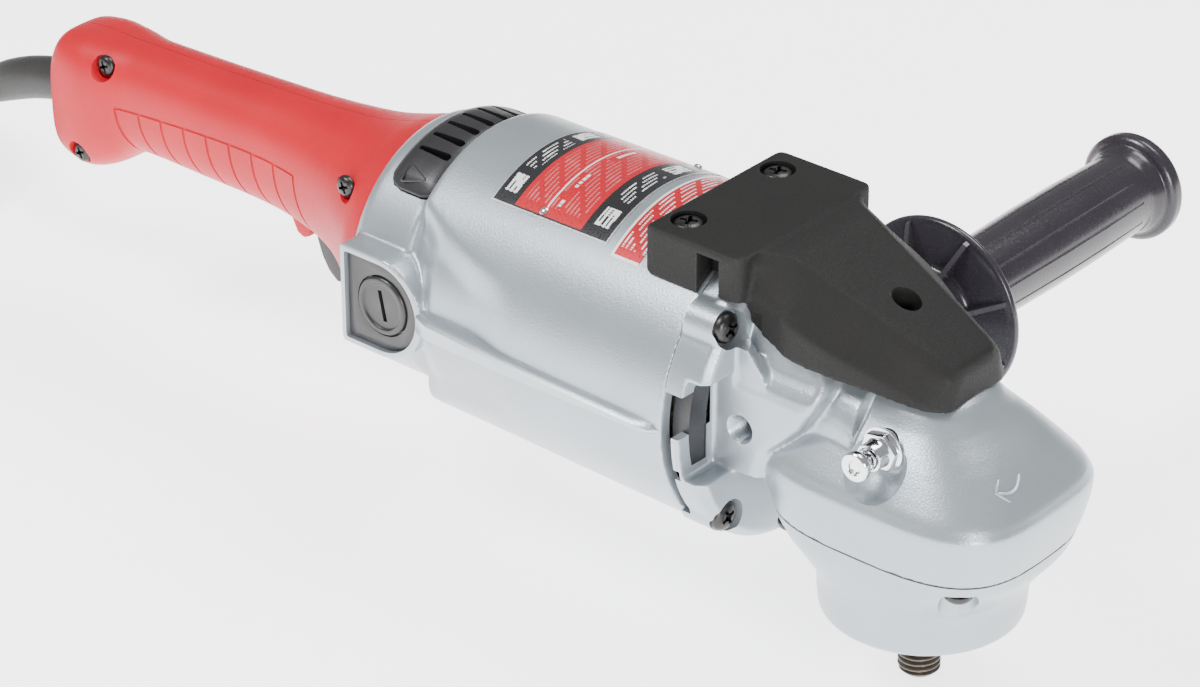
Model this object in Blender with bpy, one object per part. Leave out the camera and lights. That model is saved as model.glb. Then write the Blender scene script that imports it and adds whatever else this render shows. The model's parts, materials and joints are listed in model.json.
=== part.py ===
"""Angle grinder with a rear switch handle: motor housing, gear head, handles, drive and cord.

Sizes below are in millimetres and the shape helpers turn them into metres. +X is forward, +Y is the
tool's left and +Z is up. Heights are laid out from the shoulder that an accessory seats on. The last
step raises everything, so that the origin is at the spindle's end, which the tool stands on.
"""

import math

import bmesh
import bpy
from mathutils import Matrix, Vector

MM = 0.001
GAP = 0.3  # kept between touching pieces
# The pieces whose cuts meet too finely for the exact solver
FINELY_MEETING = ("motor_housing", "gear_case", "rubber_bumper", "vent_grille")

# Motor and its housing, which are turned about an axis along X at this height
MOTOR_Z = 81.0
SPIN_ORIGIN_X = -100.0
JOINT_X = -74.0  # where the gear case meets the motor housing
HOUSING_R = 60.3
HOUSING_REAR_R = 59.0
HOUSING_BORE_R = 55.0
BODY_REAR_X = -204.0
BAND_R = 52.0
BAND_BORE_R = 46.0
HOUSING_REAR_X = -235.0
RIB_HEIGHT = 2.5
SCREW_POST_R = 6.5
AIR_HOLES = 6
AIR_HOLE_RING_R = 31.0
REAR_WALL_X = -229.0
REAR_BEARING_R = 13.3
VENT_HALF_DEG = 43.0
VENT_FRONT_X = -204.5
VENT_REAR_X = -227.0

# Brush bosses, one on each side
BRUSH_X = -212.5
BRUSH_FACE_Y = 56.4
BRUSH_RIM_R = 20.5
BRUSH_PLATE_R = 18.3
BRUSH_CAP_R = 12.1
BRUSH_RECESS_Y = 53.2

# Gear head
HEAD_SEAM_Z = 50.0
BOSS_HALF_Y = 40.0
BOSS_LOW_Z = 62.8
SIDE_HOLE_X = -54.0
SIDE_HOLE_R = 4.9
FLANGE_FRONT_X = -57.0
CASE_SCREWS = ((41.0, 120.5), (41.0, 43.0))  # y and z, mirrored to the other side
RETAINER_SCREW_X = 37.0
RETAINER_SCREW_Y = 30.0
RETAINER_SCREW_SEAT_Z = 46.0

# Bevel gears, which share an apex on the crossing of the two axes
RING_TEETH = 32
PINION_TEETH = 8
GEAR_OUT = 30.0  # cone radius of the ring gear's pitch circle at its outer end
GEAR_IN = 18.0
PITCH_DEPTH = 7.5  # half the pinion's pitch diameter there
ADDENDUM = 0.7
DEDENDUM = 1.6

# Spindle and its lock
SPINDLE_TIP_Z = -18.0
THREAD_R = 7.94
SHOULDER_R = 15.0
LOCK_X = 2.0
LOCK_Z = 90.0

# Screws of the rubber bumper
BUMPER_SCREW_X = -90.0
BUMPER_SCREW_Y = 25.5
BUMPER_SCREW_SEAT_Z = 144.0

# Rear handle
HANDLE_REAR_X = -434.0
HANDLE_FRONT_X = -235.3
HANDLE_WALL = 3.0
SEAM_GAP = 0.15
TRIGGER_PIVOT = (-266.0, 0.0, 76.0)
TRIGGER_HALF_Y = 8.0
HANDLE_SCREWS = ((-401.0, 106.5), (-252.5, 108.5), (-416.5, 63.5))  # x and z
SCREW_HEAD_DEPTH = 3.2

# Side handle
GRIP_END_Y = 211.0
GUARD_RIBS = 6

# Cord
CORD_R = 4.5
FLOOR_Z = SPINDLE_TIP_Z
COIL_CENTRE = (-587.0, 1.0)
COIL_IN_R = 40.5
COIL_OUT_R = 58.5
COIL_HEIGHT = 36.0
PLUG_BACK = (-594.9, -44.1, 33.1)
PLUG_TURN_DEG = -10.0

FINISHES = {  # colour, roughness, metallic
    "cast_silver": ((0.60, 0.62, 0.64), 0.42, 0.65),
    "red_plastic": ((0.66, 0.03, 0.05), 0.45, 0.0),
    "black_plastic": ((0.025, 0.023, 0.026), 0.30, 0.0),
    "black_rubber": ((0.035, 0.034, 0.033), 0.70, 0.0),
    "dark_steel": ((0.06, 0.055, 0.05), 0.40, 0.9),
    "bright_steel": ((0.72, 0.73, 0.75), 0.22, 1.0),
    "copper": ((0.72, 0.36, 0.20), 0.35, 1.0),
    "brass": ((0.70, 0.52, 0.22), 0.35, 1.0),
    "carbon": ((0.02, 0.02, 0.02), 0.60, 0.0),
    "label_red": ((0.60, 0.03, 0.04), 0.35, 0.0),
    "white_plastic": ((0.70, 0.69, 0.65), 0.45, 0.0),
}


def clear_scene():
    for obj in list(bpy.data.objects):
        bpy.data.objects.remove(obj, do_unlink=True)


def finish_material(name, finish):
    colour, roughness, metallic = FINISHES[finish]
    material = bpy.data.materials.new(name + "_material")
    material.use_nodes = True
    shader = material.node_tree.nodes["Principled BSDF"]
    shader.inputs["Base Color"].default_value = (*colour, 1.0)
    shader.inputs["Roughness"].default_value = roughness
    shader.inputs["Metallic"].default_value = metallic
    return material


def object_from(name, bm, finish):
    """An object from a bmesh in millimetres. With no finish it is a cutter."""
    bmesh.ops.remove_doubles(bm, verts=bm.verts, dist=1e-4)
    bmesh.ops.recalc_face_normals(bm, faces=bm.faces)
    bmesh.ops.scale(bm, vec=(MM, MM, MM), verts=bm.verts)
    mesh = bpy.data.meshes.new(name)
    bm.to_mesh(mesh)
    bm.free()
    obj = bpy.data.objects.new(name, mesh)
    bpy.context.scene.collection.objects.link(obj)
    if finish:
        mesh.materials.append(finish_material(name, finish))
        mesh.shade_smooth()
        mesh.set_sharp_from_angle(angle=math.radians(32))
    else:
        obj.hide_render = True
        obj.display_type = "WIRE"
    return obj


def place(obj, at, axis="Z"):
    """Puts a piece at a point, with its own Z turned to the named axis."""
    turn = {
        "Z": (0, 0, 0),
        "-Z": (math.pi, 0, 0),
        "X": (0, math.pi / 2, 0),
        "-X": (0, -math.pi / 2, 0),
        "Y": (-math.pi / 2, 0, 0),
        "-Y": (math.pi / 2, 0, 0),
    }[axis]
    obj.rotation_euler = turn
    obj.location = Vector(at) * MM
    return obj


def turned(name, profile, at, axis, finish=None, steps=20):
    """A turned solid from (radius, height) points. A profile that keeps off the axis makes a ring."""
    bm = bmesh.new()
    half_step = math.pi / steps  # flats, not corners, face the main planes
    c, s = math.cos(half_step), math.sin(half_step)
    points = [bm.verts.new((r * c, r * s, h)) for r, h in profile]
    edges = [bm.edges.new(pair) for pair in zip(points, points[1:])]
    if profile[0][0] > 0:
        edges.append(bm.edges.new((points[-1], points[0])))
    bmesh.ops.spin(bm, geom=points + edges, cent=(0, 0, 0), axis=(0, 0, 1), angle=2 * math.pi, steps=steps)
    return place(object_from(name, bm, finish), at, axis)


def rod(name, radius, low, high, at, axis, finish=None, steps=14, chamfer=0.0):
    """A round bar along its axis from low to high."""
    profile = [(0, low), (radius - chamfer, low), (radius, low + chamfer)]
    profile += [(radius, high - chamfer), (radius - chamfer, high), (0, high)]
    if not chamfer:
        profile = [(0, low), (radius, low), (radius, high), (0, high)]
    return turned(name, profile, at, axis, finish, steps)


def ring(name, inner, outer, low, high, at, axis, finish=None, steps=22):
    return turned(name, [(inner, low), (outer, low), (outer, high), (inner, high)], at, axis, finish, steps)


def loft(name, sections, finish=None):
    """A closed solid through rings of points that all have the same count."""
    bm = bmesh.new()
    rows = [[bm.verts.new(p) for p in section] for section in sections]
    for low, high in zip(rows, rows[1:]):
        for i, corner in enumerate(low):
            j = (i + 1) % len(low)
            bm.faces.new((corner, low[j], high[j], high[i]))
    bm.faces.new(rows[0])
    bm.faces.new(rows[-1])
    bmesh.ops.triangulate(bm, faces=bm.faces)
    return object_from(name, bm, finish)


def extruded(name, outline, low, high, plane, finish=None):
    """A flat outline pushed from low to high, along Y for an XZ outline and along Z for an XY one."""
    lift = {
        "XZ": lambda p, d: (p[0], d, p[1]),
        "XY": lambda p, d: (p[0], p[1], d),
    }[plane]
    return loft(name, [[lift(p, d) for p in outline] for d in (low, high)], finish)


def block(name, low, high, finish=None, bevel=0.0):
    corners = [(low[0], low[1]), (high[0], low[1]), (high[0], high[1]), (low[0], high[1])]
    obj = extruded(name, corners, low[2], high[2], "XY", finish)
    if bevel:
        soften(obj, bevel)
    return obj


def soften(obj, width, segments=1):
    edge = obj.modifiers.new("soften", "BEVEL")
    edge.width = width * MM
    edge.segments = segments
    edge.limit_method = "ANGLE"
    edge.angle_limit = math.radians(40)


def combine(obj, other, operation):
    """A Boolean with another object, which is then only a guide."""
    step = obj.modifiers.new(operation.lower(), "BOOLEAN")
    step.operation = operation
    step.solver = "MANIFOLD" if obj.name in FINELY_MEETING else "EXACT"
    step.object = other
    other.hide_render = True
    other.display_type = "WIRE"


def cut(obj, *cutters):
    for cutter in cutters:
        combine(obj, cutter, "DIFFERENCE")


def unite(obj, *others):
    for other in others:
        combine(obj, other, "UNION")


def superellipse(half_a, half_b, power, count):
    """Points round a rounded rectangle's outline, as (a, b) pairs."""
    points = []
    for i in range(count):
        angle = 2 * math.pi * i / count
        c, s = math.cos(angle), math.sin(angle)
        size = (abs(c / half_a) ** power + abs(s / half_b) ** power) ** (-1 / power)
        points.append((c * size, s * size))
    return points


def smooth_route(points, spacing):
    """Evenly spaced points on a smooth curve through the route's own points."""
    ends = [2 * points[0] - points[1], *points, 2 * points[-1] - points[-2]]
    fine = []
    steps = 40
    for a, b, c, d in zip(ends, ends[1:], ends[2:], ends[3:]):
        for i in range(steps):
            t = i / steps
            bend = (2 * a - 5 * b + 4 * c - d) * t**2 + (3 * b - a - 3 * c + d) * t**3
            fine.append(0.5 * (2 * b + (c - a) * t + bend))
    fine.append(points[-1])
    lengths = [0.0]
    for a, b in zip(fine, fine[1:]):
        lengths.append(lengths[-1] + (b - a).length)
    count = max(2, round(lengths[-1] / spacing))
    spaced, k = [], 0
    for i in range(count + 1):
        wanted = lengths[-1] * i / count
        while k < len(lengths) - 2 and lengths[k + 1] < wanted:
            k += 1
        span = lengths[k + 1] - lengths[k]
        spaced.append(fine[k].lerp(fine[k + 1], (wanted - lengths[k]) / span if span else 0.0))
    return spaced


def tube(name, route, radius, finish, spacing):
    """A round cord along a route given in metres."""
    points = smooth_route([Vector(p) for p in route], spacing)
    curve = bpy.data.curves.new(name, "CURVE")
    curve.dimensions = "3D"
    curve.bevel_depth = radius * MM
    curve.bevel_resolution = 2
    curve.use_fill_caps = True
    curve.resolution_u = 1
    curve.render_resolution_u = 0
    line = curve.splines.new("POLY")
    line.points.add(len(points) - 1)
    for slot, point in zip(line.points, points):
        slot.co = (*point, 1.0)
    curve.materials.append(finish_material(name, finish))
    obj = bpy.data.objects.new(name, curve)
    bpy.context.scene.collection.objects.link(obj)
    return obj


def axis_empty(name, at):
    empty = bpy.data.objects.new(name, None)
    empty.location = Vector(at) * MM
    bpy.context.scene.collection.objects.link(empty)
    return empty


def hang(empty, *pieces):
    for piece in pieces:
        piece.parent = empty
        piece.location = piece.location - empty.location


def pan_screw(name, at, axis, head_r, head, shank_r, length, finish="dark_steel"):
    """A slotted pan-head screw. Its head stands on the point and its shank runs back from it."""
    profile = [(0, -length), (shank_r, -length), (shank_r, 0), (head_r, 0)]
    profile += [(head_r, head * 0.6), (head_r * 0.7, head), (0, head)]
    screw = turned(name, profile, at, axis, finish, steps=9)
    slot = block(name + "_slot", (-head_r, -0.6, head * 0.5), (head_r, 0.6, head + 1))
    place(slot, at, axis)
    cut(screw, slot)
    return screw


# ---- Motor housing -------------------------------------------------------------------------------


def along_motor(x):
    """A height above the housing's rear plane, for pieces turned about the motor's axis."""
    return x - HOUSING_REAR_X


def motor_point(x=HOUSING_REAR_X, y=0.0, z=MOTOR_Z):
    return (x, y, z)


def outward(side):
    """The name of the direction that faces out of the tool's left (1) or right (-1) side."""
    return "Y" if side > 0 else "-Y"


def motor_housing():
    outside = [
        (BAND_R - 3, along_motor(HOUSING_REAR_X)),
        (BAND_R, along_motor(REAR_WALL_X)),
        (BAND_R, along_motor(-207)),
        (HOUSING_REAR_R, along_motor(BODY_REAR_X)),
        (HOUSING_R, along_motor(JOINT_X - GAP)),
    ]
    inside = [
        (HOUSING_BORE_R, along_motor(JOINT_X - GAP)),
        (HOUSING_BORE_R, along_motor(-198)),
        (BAND_BORE_R, along_motor(-203)),
        (BAND_BORE_R, along_motor(REAR_WALL_X)),
        (REAR_BEARING_R, along_motor(REAR_WALL_X)),
        (REAR_BEARING_R, along_motor(HOUSING_REAR_X)),
    ]
    housing = turned("motor_housing", outside + inside, motor_point(), "X", "cast_silver", steps=36)
    for side in (-1, 1):
        tag = "left" if side > 0 else "right"
        brush_at = (BRUSH_X, 0, MOTOR_Z)
        out = outward(side)
        boss = rod(f"brush_boss_{tag}", BRUSH_RIM_R, BAND_BORE_R, BRUSH_FACE_Y + 1, brush_at, out, steps=24)
        recess = rod(f"brush_recess_{tag}", BRUSH_PLATE_R + GAP, BRUSH_RECESS_Y, 70, brush_at, out, steps=24)
        unite(housing, housing_rib(side), boss)
        cut(housing, recess)
        for level, (y, z) in enumerate(CASE_SCREWS):
            towards_axis = 3 if z < MOTOR_Z else -3
            post_at = (JOINT_X - GAP - 20.6, side * (y - 3), z + towards_axis)
            unite(housing, rod(f"screw_post_{tag}_{level}", SCREW_POST_R, 0, 20, post_at, "X", steps=12))
            hole_at = (JOINT_X - 25, side * y, z)
            cut(housing, rod(f"screw_hole_{tag}_{level}", 2.3, -2, 40, hole_at, "X", steps=8))
    cut(housing, rod("brush_bore", 8.6, -60, 60, (BRUSH_X, 0, MOTOR_Z), "Y", steps=18))
    for i in range(AIR_HOLES):
        angle = math.tau * i / AIR_HOLES
        y, z = AIR_HOLE_RING_R * math.sin(angle), MOTOR_Z + AIR_HOLE_RING_R * math.cos(angle)
        cut(housing, rod(f"air_hole_{i}", 8, -3, 20, (HOUSING_REAR_X - 5, y, z), "X"))
    for side in (-1, 1):
        at = (BUMPER_SCREW_X, side * BUMPER_SCREW_Y, 0)
        cut(housing, rod(f"bumper_screw_hole_{side}", 2.4, 125, 150, at, "Z", steps=8))
    window = vent_sector("vent_window", 44, 64, VENT_REAR_X - GAP, VENT_FRONT_X + GAP, VENT_HALF_DEG + 0.4)
    cut(housing, window)
    return housing


def housing_rib(side):
    """The rib along the housing's side, level with the motor's axis."""
    root, crest = HOUSING_R - 4.5, HOUSING_R + RIB_HEIGHT
    plan = [(-194, root), (-79, root), (-79, HOUSING_R + 0.4), (-84, crest), (-188, crest - 1), (-194, 58)]
    plan = [(x, side * y) for x, y in plan]
    return extruded(f"rib_{side}", plan, MOTOR_Z - RIB_HEIGHT, MOTOR_Z + RIB_HEIGHT, "XY")


def vent_sector(name, inner, outer, rear, front, half_deg, finish=None, steps=14):
    """A curved plate about the motor's axis, centred on its top."""
    rows = []
    for i in range(steps + 1):
        angle = math.radians(-half_deg + 2 * half_deg * i / steps)
        s, c = math.sin(angle), math.cos(angle)
        corners = ((rear, inner), (rear, outer - 2), (front, outer), (front, inner))
        rows.append([(x, r * s, MOTOR_Z + r * c) for x, r in corners])
    return loft(name, rows, finish)


def vent_grille():
    grille = vent_sector("vent_grille", 48.5, 54.5, VENT_REAR_X, VENT_FRONT_X, VENT_HALF_DEG, "black_plastic")
    slots = 7
    for i in range(slots):
        angle = math.radians(-30 + 60 * i / (slots - 1))
        slot = block(f"grille_slot_{i}", (VENT_REAR_X + 3, -1.5, 40), (VENT_FRONT_X - 3, 1.5, 70))
        slot.rotation_euler = (-angle, 0, 0)
        slot.location = Vector((0, 0, MOTOR_Z)) * MM
        cut(grille, slot)
    return grille


def brush_gear(side):
    """What a brush boss holds: the plate and screw cap outside, the holder and carbon brush inside."""
    tag = "left" if side > 0 else "right"
    out = outward(side)
    at = (BRUSH_X, 0, MOTOR_Z)
    seat, top = BRUSH_RECESS_Y + GAP, BRUSH_FACE_Y + 0.8
    bore = BRUSH_CAP_R + GAP
    plate = ring(f"brush_plate_{tag}", bore, BRUSH_PLATE_R, seat, BRUSH_FACE_Y, at, out, "black_plastic", 24)
    cap_profile = [
        (0, 50), (7.2, 50), (7.2, seat), (BRUSH_CAP_R, seat), (BRUSH_CAP_R, BRUSH_FACE_Y),
        (BRUSH_CAP_R - 0.8, top), (0, top),
    ]
    cap = turned(f"brush_cap_{tag}", cap_profile, at, out, "black_plastic", 20)
    slot = block(f"cap_slot_{tag}", (-9, -1.1, 55.6), (9, 1.1, 60))
    place(slot, at, out)
    cut(cap, slot)
    holder = ring(f"brush_holder_{tag}", 5.8, 8.2, 27, 49.6, at, out, "brass", 12)
    carbon = block(f"carbon_brush_{tag}", (-5, -2.5, 19.6), (5, 2.5, 41), "carbon")
    place(carbon, at, out)
    return plate, cap, holder, carbon


# ---- Motor ---------------------------------------------------------------------------------------


def stator():
    core = ring("stator_core", 32.0, HOUSING_BORE_R - GAP, 0, 66, (-185, 0, MOTOR_Z), "X", "dark_steel", 32)
    for side in (-1, 1):
        low, high = (-190, side * 40 - 5, MOTOR_Z - 22), (-110, side * 40 + 5, MOTOR_Z + 22)
        window = block(f"stator_window_{side}", low, high)
        cut(core, window)
    return core


def field_coil(side):
    """A field winding, which lies in its window and shows as a loop past the core's ends."""
    tag = "left" if side > 0 else "right"
    low, high = sorted((side * 36, side * 44))
    return block(f"field_coil_{tag}", (-192, low, MOTOR_Z - 20), (-112, high, MOTOR_Z + 20), "copper")


def armature():
    """The shaft with its laminated core and winding ends."""
    shaft = 5.0
    profile = [
        (0, -233), (shaft - 0.6, -233), (shaft - 0.6, -225), (shaft, -224), (shaft, -196),
        (14, -196), (24, -190), (26, -184), (30.5, -184), (30.5, -120), (26, -120), (22, -112),
        (9, -109), (8.2, -109), (8.2, -58), (6, -57), (shaft, -45), (shaft, -33), (0, -33),
    ]
    profile = [(r, x - SPIN_ORIGIN_X) for r, x in profile]
    return turned("armature", profile, (SPIN_ORIGIN_X, 0, MOTOR_Z), "X", "dark_steel", 20)


def commutator():
    return ring("commutator", 5.0 + GAP, 19.0, -222, -203, (0, 0, MOTOR_Z), "X", "copper", 24)


def cooling_fan():
    fan = ring("cooling_fan", 8.2 + GAP, 45.0, -93.5, -91.5, (0, 0, MOTOR_Z), "X", "white_plastic", 24)
    hub = ring("fan_hub", 8.2 + GAP, 13, -106, -92.5, (0, 0, MOTOR_Z), "X")
    unite(fan, hub)
    for i in range(6):
        blade = block(f"fan_blade_{i}", (-105, -1, 20), (-92.5, 1, 44.5))
        blade.rotation_euler = (math.tau * i / 6, 0, 0)
        blade.location = Vector((0, 0, MOTOR_Z)) * MM
        unite(fan, blade)
    return fan


def fan_baffle():
    rim = HOUSING_BORE_R - GAP
    profile = [(38, -110), (rim, -110), (rim, -97), (rim - 2, -97), (rim - 2, -108), (38, -108)]
    return turned("fan_baffle", profile, (0, 0, MOTOR_Z), "X", "black_plastic", 28)


def ball_bearing(name, inner, outer, low, high, at, axis):
    """A sealed ball bearing, with the shield set back on its upper face."""
    race = (outer - inner) * 0.22
    profile = [
        (inner, low), (outer - race, low), (outer, low + 0.5), (outer, high - 0.5), (outer - race, high),
        (outer - race, high - 0.6), (inner + race, high - 0.6), (inner + race, high), (inner, high),
    ]
    return turned(name, profile, at, axis, "bright_steel", 14)


# ---- Gear head -----------------------------------------------------------------------------------

HEAD_SECTIONS = (  # height, half length, half width, roundness
    (HEAD_SEAM_Z + GAP, 52.0, 42.8, 3.1),
    (58.0, 53.8, 44.0, 3.1),
    (66.0, 55.2, 44.8, 3.1),
    (71.5, 54.8, 44.1, 3.1),
    (77.0, 52.0, 42.0, 3.0),
    (88.0, 40.5, 33.0, 2.8),
    (97.0, 29.0, 25.0, 2.6),
    (104.0, 22.0, 20.0, 2.3),
    (109.0, 12.0, 12.0, 2.0),
)


def head_solid(name, grow=0.0, finish=None):
    sections = []
    for z, half_x, half_y, power in HEAD_SECTIONS:
        outline = superellipse(half_x + grow, half_y + grow, power, 28)
        sections.append([(x, y, z + (grow if z > 70 else -grow)) for x, y in outline])
    return loft(name, sections, finish)


NECK_PROFILE = (  # height, front x
    (BOSS_LOW_Z, -12.0),
    (80.0, -12.0),
    (92.0, -19.0),
    (104.0, -22.0),
    (114.0, -26.0),
    (120.0, -34.0),
    (130.0, -48.0),
    (137.5, -69.0),
)
NECK_SHOULDER_Z = 104.0


def neck_solid(name, grow=0.0):
    """The block between the flange and the head that carries the side-handle bosses."""
    sections = []
    for z, front in NECK_PROFILE:
        half = BOSS_HALF_Y + grow - 0.55 * max(0.0, z - NECK_SHOULDER_Z)
        level = z + (grow if z > 70 else -grow)
        corners = ((-70, -half), (front + grow, -half), (front + grow, half), (-70, half))
        sections.append([(x, y, level) for x, y in corners])
    return loft(name, sections)


def flange_solid(name, grow=0.0):
    rim, front = HOUSING_R + grow, FLANGE_FRONT_X + grow
    profile = [(0, JOINT_X - 4), (rim, JOINT_X - 4), (rim, front - 3.5), (rim - 3, front), (0, front)]
    return turned(name, profile, (0, 0, MOTOR_Z), "X", None, 36)


def throat_solid(name, grow=0.0):
    """The narrower casting under the bosses, between the flange and the head."""
    sections = []
    for x, half, height in ((-66, 33, 34.3), (-50, 31, 34.3), (-34, 31, 33), (-10, 34, 28)):
        outline = superellipse(half + grow, height + grow, 2.6, 20)
        sections.append([(x, y, MOTOR_Z + z) for y, z in outline])
    return loft(name, sections)


def gear_case():
    case = head_solid("gear_case", finish="cast_silver")
    throat = throat_solid("gear_throat")
    cut(throat, block("throat_trim", (-52.2, -60, 30), (0, 60, HEAD_SEAM_Z + 2 * GAP)))
    unite(case, throat, neck_solid("gear_neck"), flange_solid("gear_flange"))
    for side in (-1, 1):
        for level, (y, z) in enumerate(CASE_SCREWS):
            tag = f"{'left' if side > 0 else 'right'}_{level}"
            towards_axis = 2 if z < MOTOR_Z else -2
            lobe_at = (0, side * (y - 2), z + towards_axis)
            unite(case, rod(f"screw_lobe_{tag}", 8.6, JOINT_X - 2, -63.4, lobe_at, "X", steps=14))
            pocket = rod(f"screw_pocket_{tag}", 6.8, -62, -30, (0, side * y, z), "X", steps=14)
            hole = rod(f"case_hole_{tag}", 2.4, -80, -55, (0, side * y, z), "X", steps=8)
            cut(case, pocket, hole)
    cut(case, block("joint_trim", (-95, -90, -10), (JOINT_X, 90, 170)))
    for side in (-1, 1):  # the flange is thin beside the bosses, so that a side handle clears it
        near, far = sorted((side * BOSS_HALF_Y, side * 80))
        cut(case, block(f"boss_clearance_{side}", (-66, near, BOSS_LOW_Z), (-50, far, 103)))
    hollow_out_gear_case(case)
    for side in (-1, 1):
        for i, (low, high) in enumerate(((54, 66), (69, 81), (84, 96))):
            near, far = sorted((side * 45, side * 70))
            cut(case, block(f"exhaust_slot_{side}_{i}", (JOINT_X - 3, near, low), (-68, far, high)))
        hole_at = (SIDE_HOLE_X, 0, MOTOR_Z)
        cut(case, rod(f"side_handle_hole_{side}", SIDE_HOLE_R, 25, 60, hole_at, outward(side)))
    for x in (-RETAINER_SCREW_X, RETAINER_SCREW_X):
        for y in (-RETAINER_SCREW_Y, RETAINER_SCREW_Y):
            cut(case, rod(f"tapped_hole_{x}_{y}", 2.4, 45, 66, (x, y, 0), "Z", steps=8))
    recess_profile = [(0, 29.5), (9, 29.5), (14.5, 37.5), (16, 60), (0, 60)]
    lock_recess = turned("lock_recess", recess_profile, (LOCK_X + 0.5, 0, LOCK_Z), "-Y")
    lock_seat = rod("lock_seat", 6.3, 20, 40, (LOCK_X, 0, LOCK_Z), "-Y")
    lock_bore = rod("lock_bore", 3.0, 8, 25, (LOCK_X, 0, LOCK_Z), "-Y", steps=16)
    cut(case, lock_recess, lock_seat, lock_bore)
    return case


def hollow_out_gear_case(case):
    """Cuts the gears' chamber, the pinion's way in, the front bearing's seat and the space behind the fan."""
    chamber_profile = [
        (0, 40), (37.5, 40), (37.5, 70), (33, 76), (24, 82), (14, 88), (14, 95.5), (11.3, 95.5),
        (11.3, 104.3), (0, 104.3),
    ]
    axis_at = (0, 0, MOTOR_Z)
    cut(
        case,
        turned("gear_chamber", chamber_profile, (0, 0, 0), "Z", None, 28),
        rod("pinion_tunnel", 13.5, JOINT_X - 1, -14, axis_at, "X", steps=16),
        rod("bearing_seat", 20.3, JOINT_X - 6, -60, axis_at, "X", steps=22),
        ring("exhaust_space", 25, 50, JOINT_X - 6, -66, axis_at, "X", None, 26),
    )


def bearing_retainer():
    """The lower casting, which closes the head and holds the lower spindle bearing."""
    sections = []
    for z, half_x, half_y, power in (
        (11.0, 34.5, 34.5, 2.0),
        (12.2, 37.0, 37.0, 2.0),
        (14.5, 38.0, 38.0, 2.0),
        (20.0, 38.5, 38.0, 2.0),
        (25.0, 38.9, 38.3, 2.0),
        (30.0, 40.6, 39.0, 2.2),
        (37.0, 45.3, 40.6, 2.5),
        (44.0, 50.0, 42.0, 2.9),
        (HEAD_SEAM_Z, 51.8, 42.6, 3.1),
    ):
        sections.append([(x, y, z) for x, y in superellipse(half_x, half_y, power, 28)])
    retainer = loft("bearing_retainer", sections, "cast_silver")
    hollow = turned(
        "retainer_hollow",
        [(0, 5), (15.5, 5), (15.5, 13.7), (20.3, 13.7), (20.3, 29), (30, 34), (36, 52), (0, 52)],
        (0, 0, 0),
        "Z",
        steps=28,
    )
    cut(retainer, hollow)
    for x in (-RETAINER_SCREW_X, RETAINER_SCREW_X):
        for y in (-RETAINER_SCREW_Y, RETAINER_SCREW_Y):
            pocket = rod(f"retainer_pocket_{x}_{y}", 6.4, 10, RETAINER_SCREW_SEAT_Z, (x, y, 0), "Z", steps=12)
            hole = rod(f"retainer_hole_{x}_{y}", 2.4, 30, 60, (x, y, 0), "Z", steps=8)
            cut(retainer, pocket, hole)
    return retainer


def retainer_screws():
    made = []
    corners = (("front_left", 1, 1), ("front_right", 1, -1), ("rear_left", -1, 1), ("rear_right", -1, -1))
    for tag, sx, sy in corners:
        at = (sx * RETAINER_SCREW_X, sy * RETAINER_SCREW_Y, RETAINER_SCREW_SEAT_Z - GAP)
        made.append(pan_screw(f"retainer_screw_{tag}", at, "-Z", 5.4, 3.6, 2.0, 18))
    return made


def case_screws():
    made = []
    for side, tag in ((-1, "right"), (1, "left")):
        for (y, z), level in zip(CASE_SCREWS, ("upper", "lower")):
            at = (-62 + GAP, side * y, z)
            made.append(pan_screw(f"case_screw_{tag}_{level}", at, "X", 6.2, 4.2, 2.0, 30))
    return made


def cone_point(radius, depth_share, angle):
    """A point of the ring gear's face, whose depth under the apex is a share of its radius."""
    return (radius * math.cos(angle), radius * math.sin(angle), MOTOR_Z - radius * depth_share)


def tooth_angles(count, start, tip_share, root_share):
    """Around a gear: root, tip, tip, root for each tooth, with whether the point is on a tip."""
    pitch = math.tau / count
    for i in range(count):
        centre = start + i * pitch
        for offset in (-root_share, -tip_share, tip_share, root_share):
            yield centre + offset * pitch, abs(offset) == tip_share


def ring_gear():
    """The bevel gear on the spindle. A gap between two teeth faces the pinion."""
    tip_depth = (PITCH_DEPTH - ADDENDUM) / GEAR_OUT
    root_depth = (PITCH_DEPTH + DEDENDUM) / GEAR_OUT
    rim = GEAR_OUT + 0.5  # short of the pinion's hub
    start = math.pi + math.pi / RING_TEETH
    angles = list(tooth_angles(RING_TEETH, start, 0.09, 0.20))
    outer = [cone_point(rim, tip_depth if tip else root_depth, a) for a, tip in angles]
    inner = [cone_point(GEAR_IN, tip_depth if tip else root_depth, a) for a, tip in angles]
    hub_top = MOTOR_Z - GEAR_IN * root_depth - 1.0
    bm = bmesh.new()
    rows = [
        [bm.verts.new((r * math.cos(a), r * math.sin(a), z)) for a, _ in angles]
        for r, z in ((9.3, hub_top), (9.3, 60.0), (rim, 66.0))
    ]
    rows.append([bm.verts.new(p) for p in outer])
    rows.append([bm.verts.new(p) for p in inner])
    rows.append(rows[0])
    for low, high in zip(rows, rows[1:]):
        for i, corner in enumerate(low):
            j = (i + 1) % len(low)
            bm.faces.new((corner, low[j], high[j], high[i]))
    return object_from("ring_gear", bm, "dark_steel")


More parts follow.
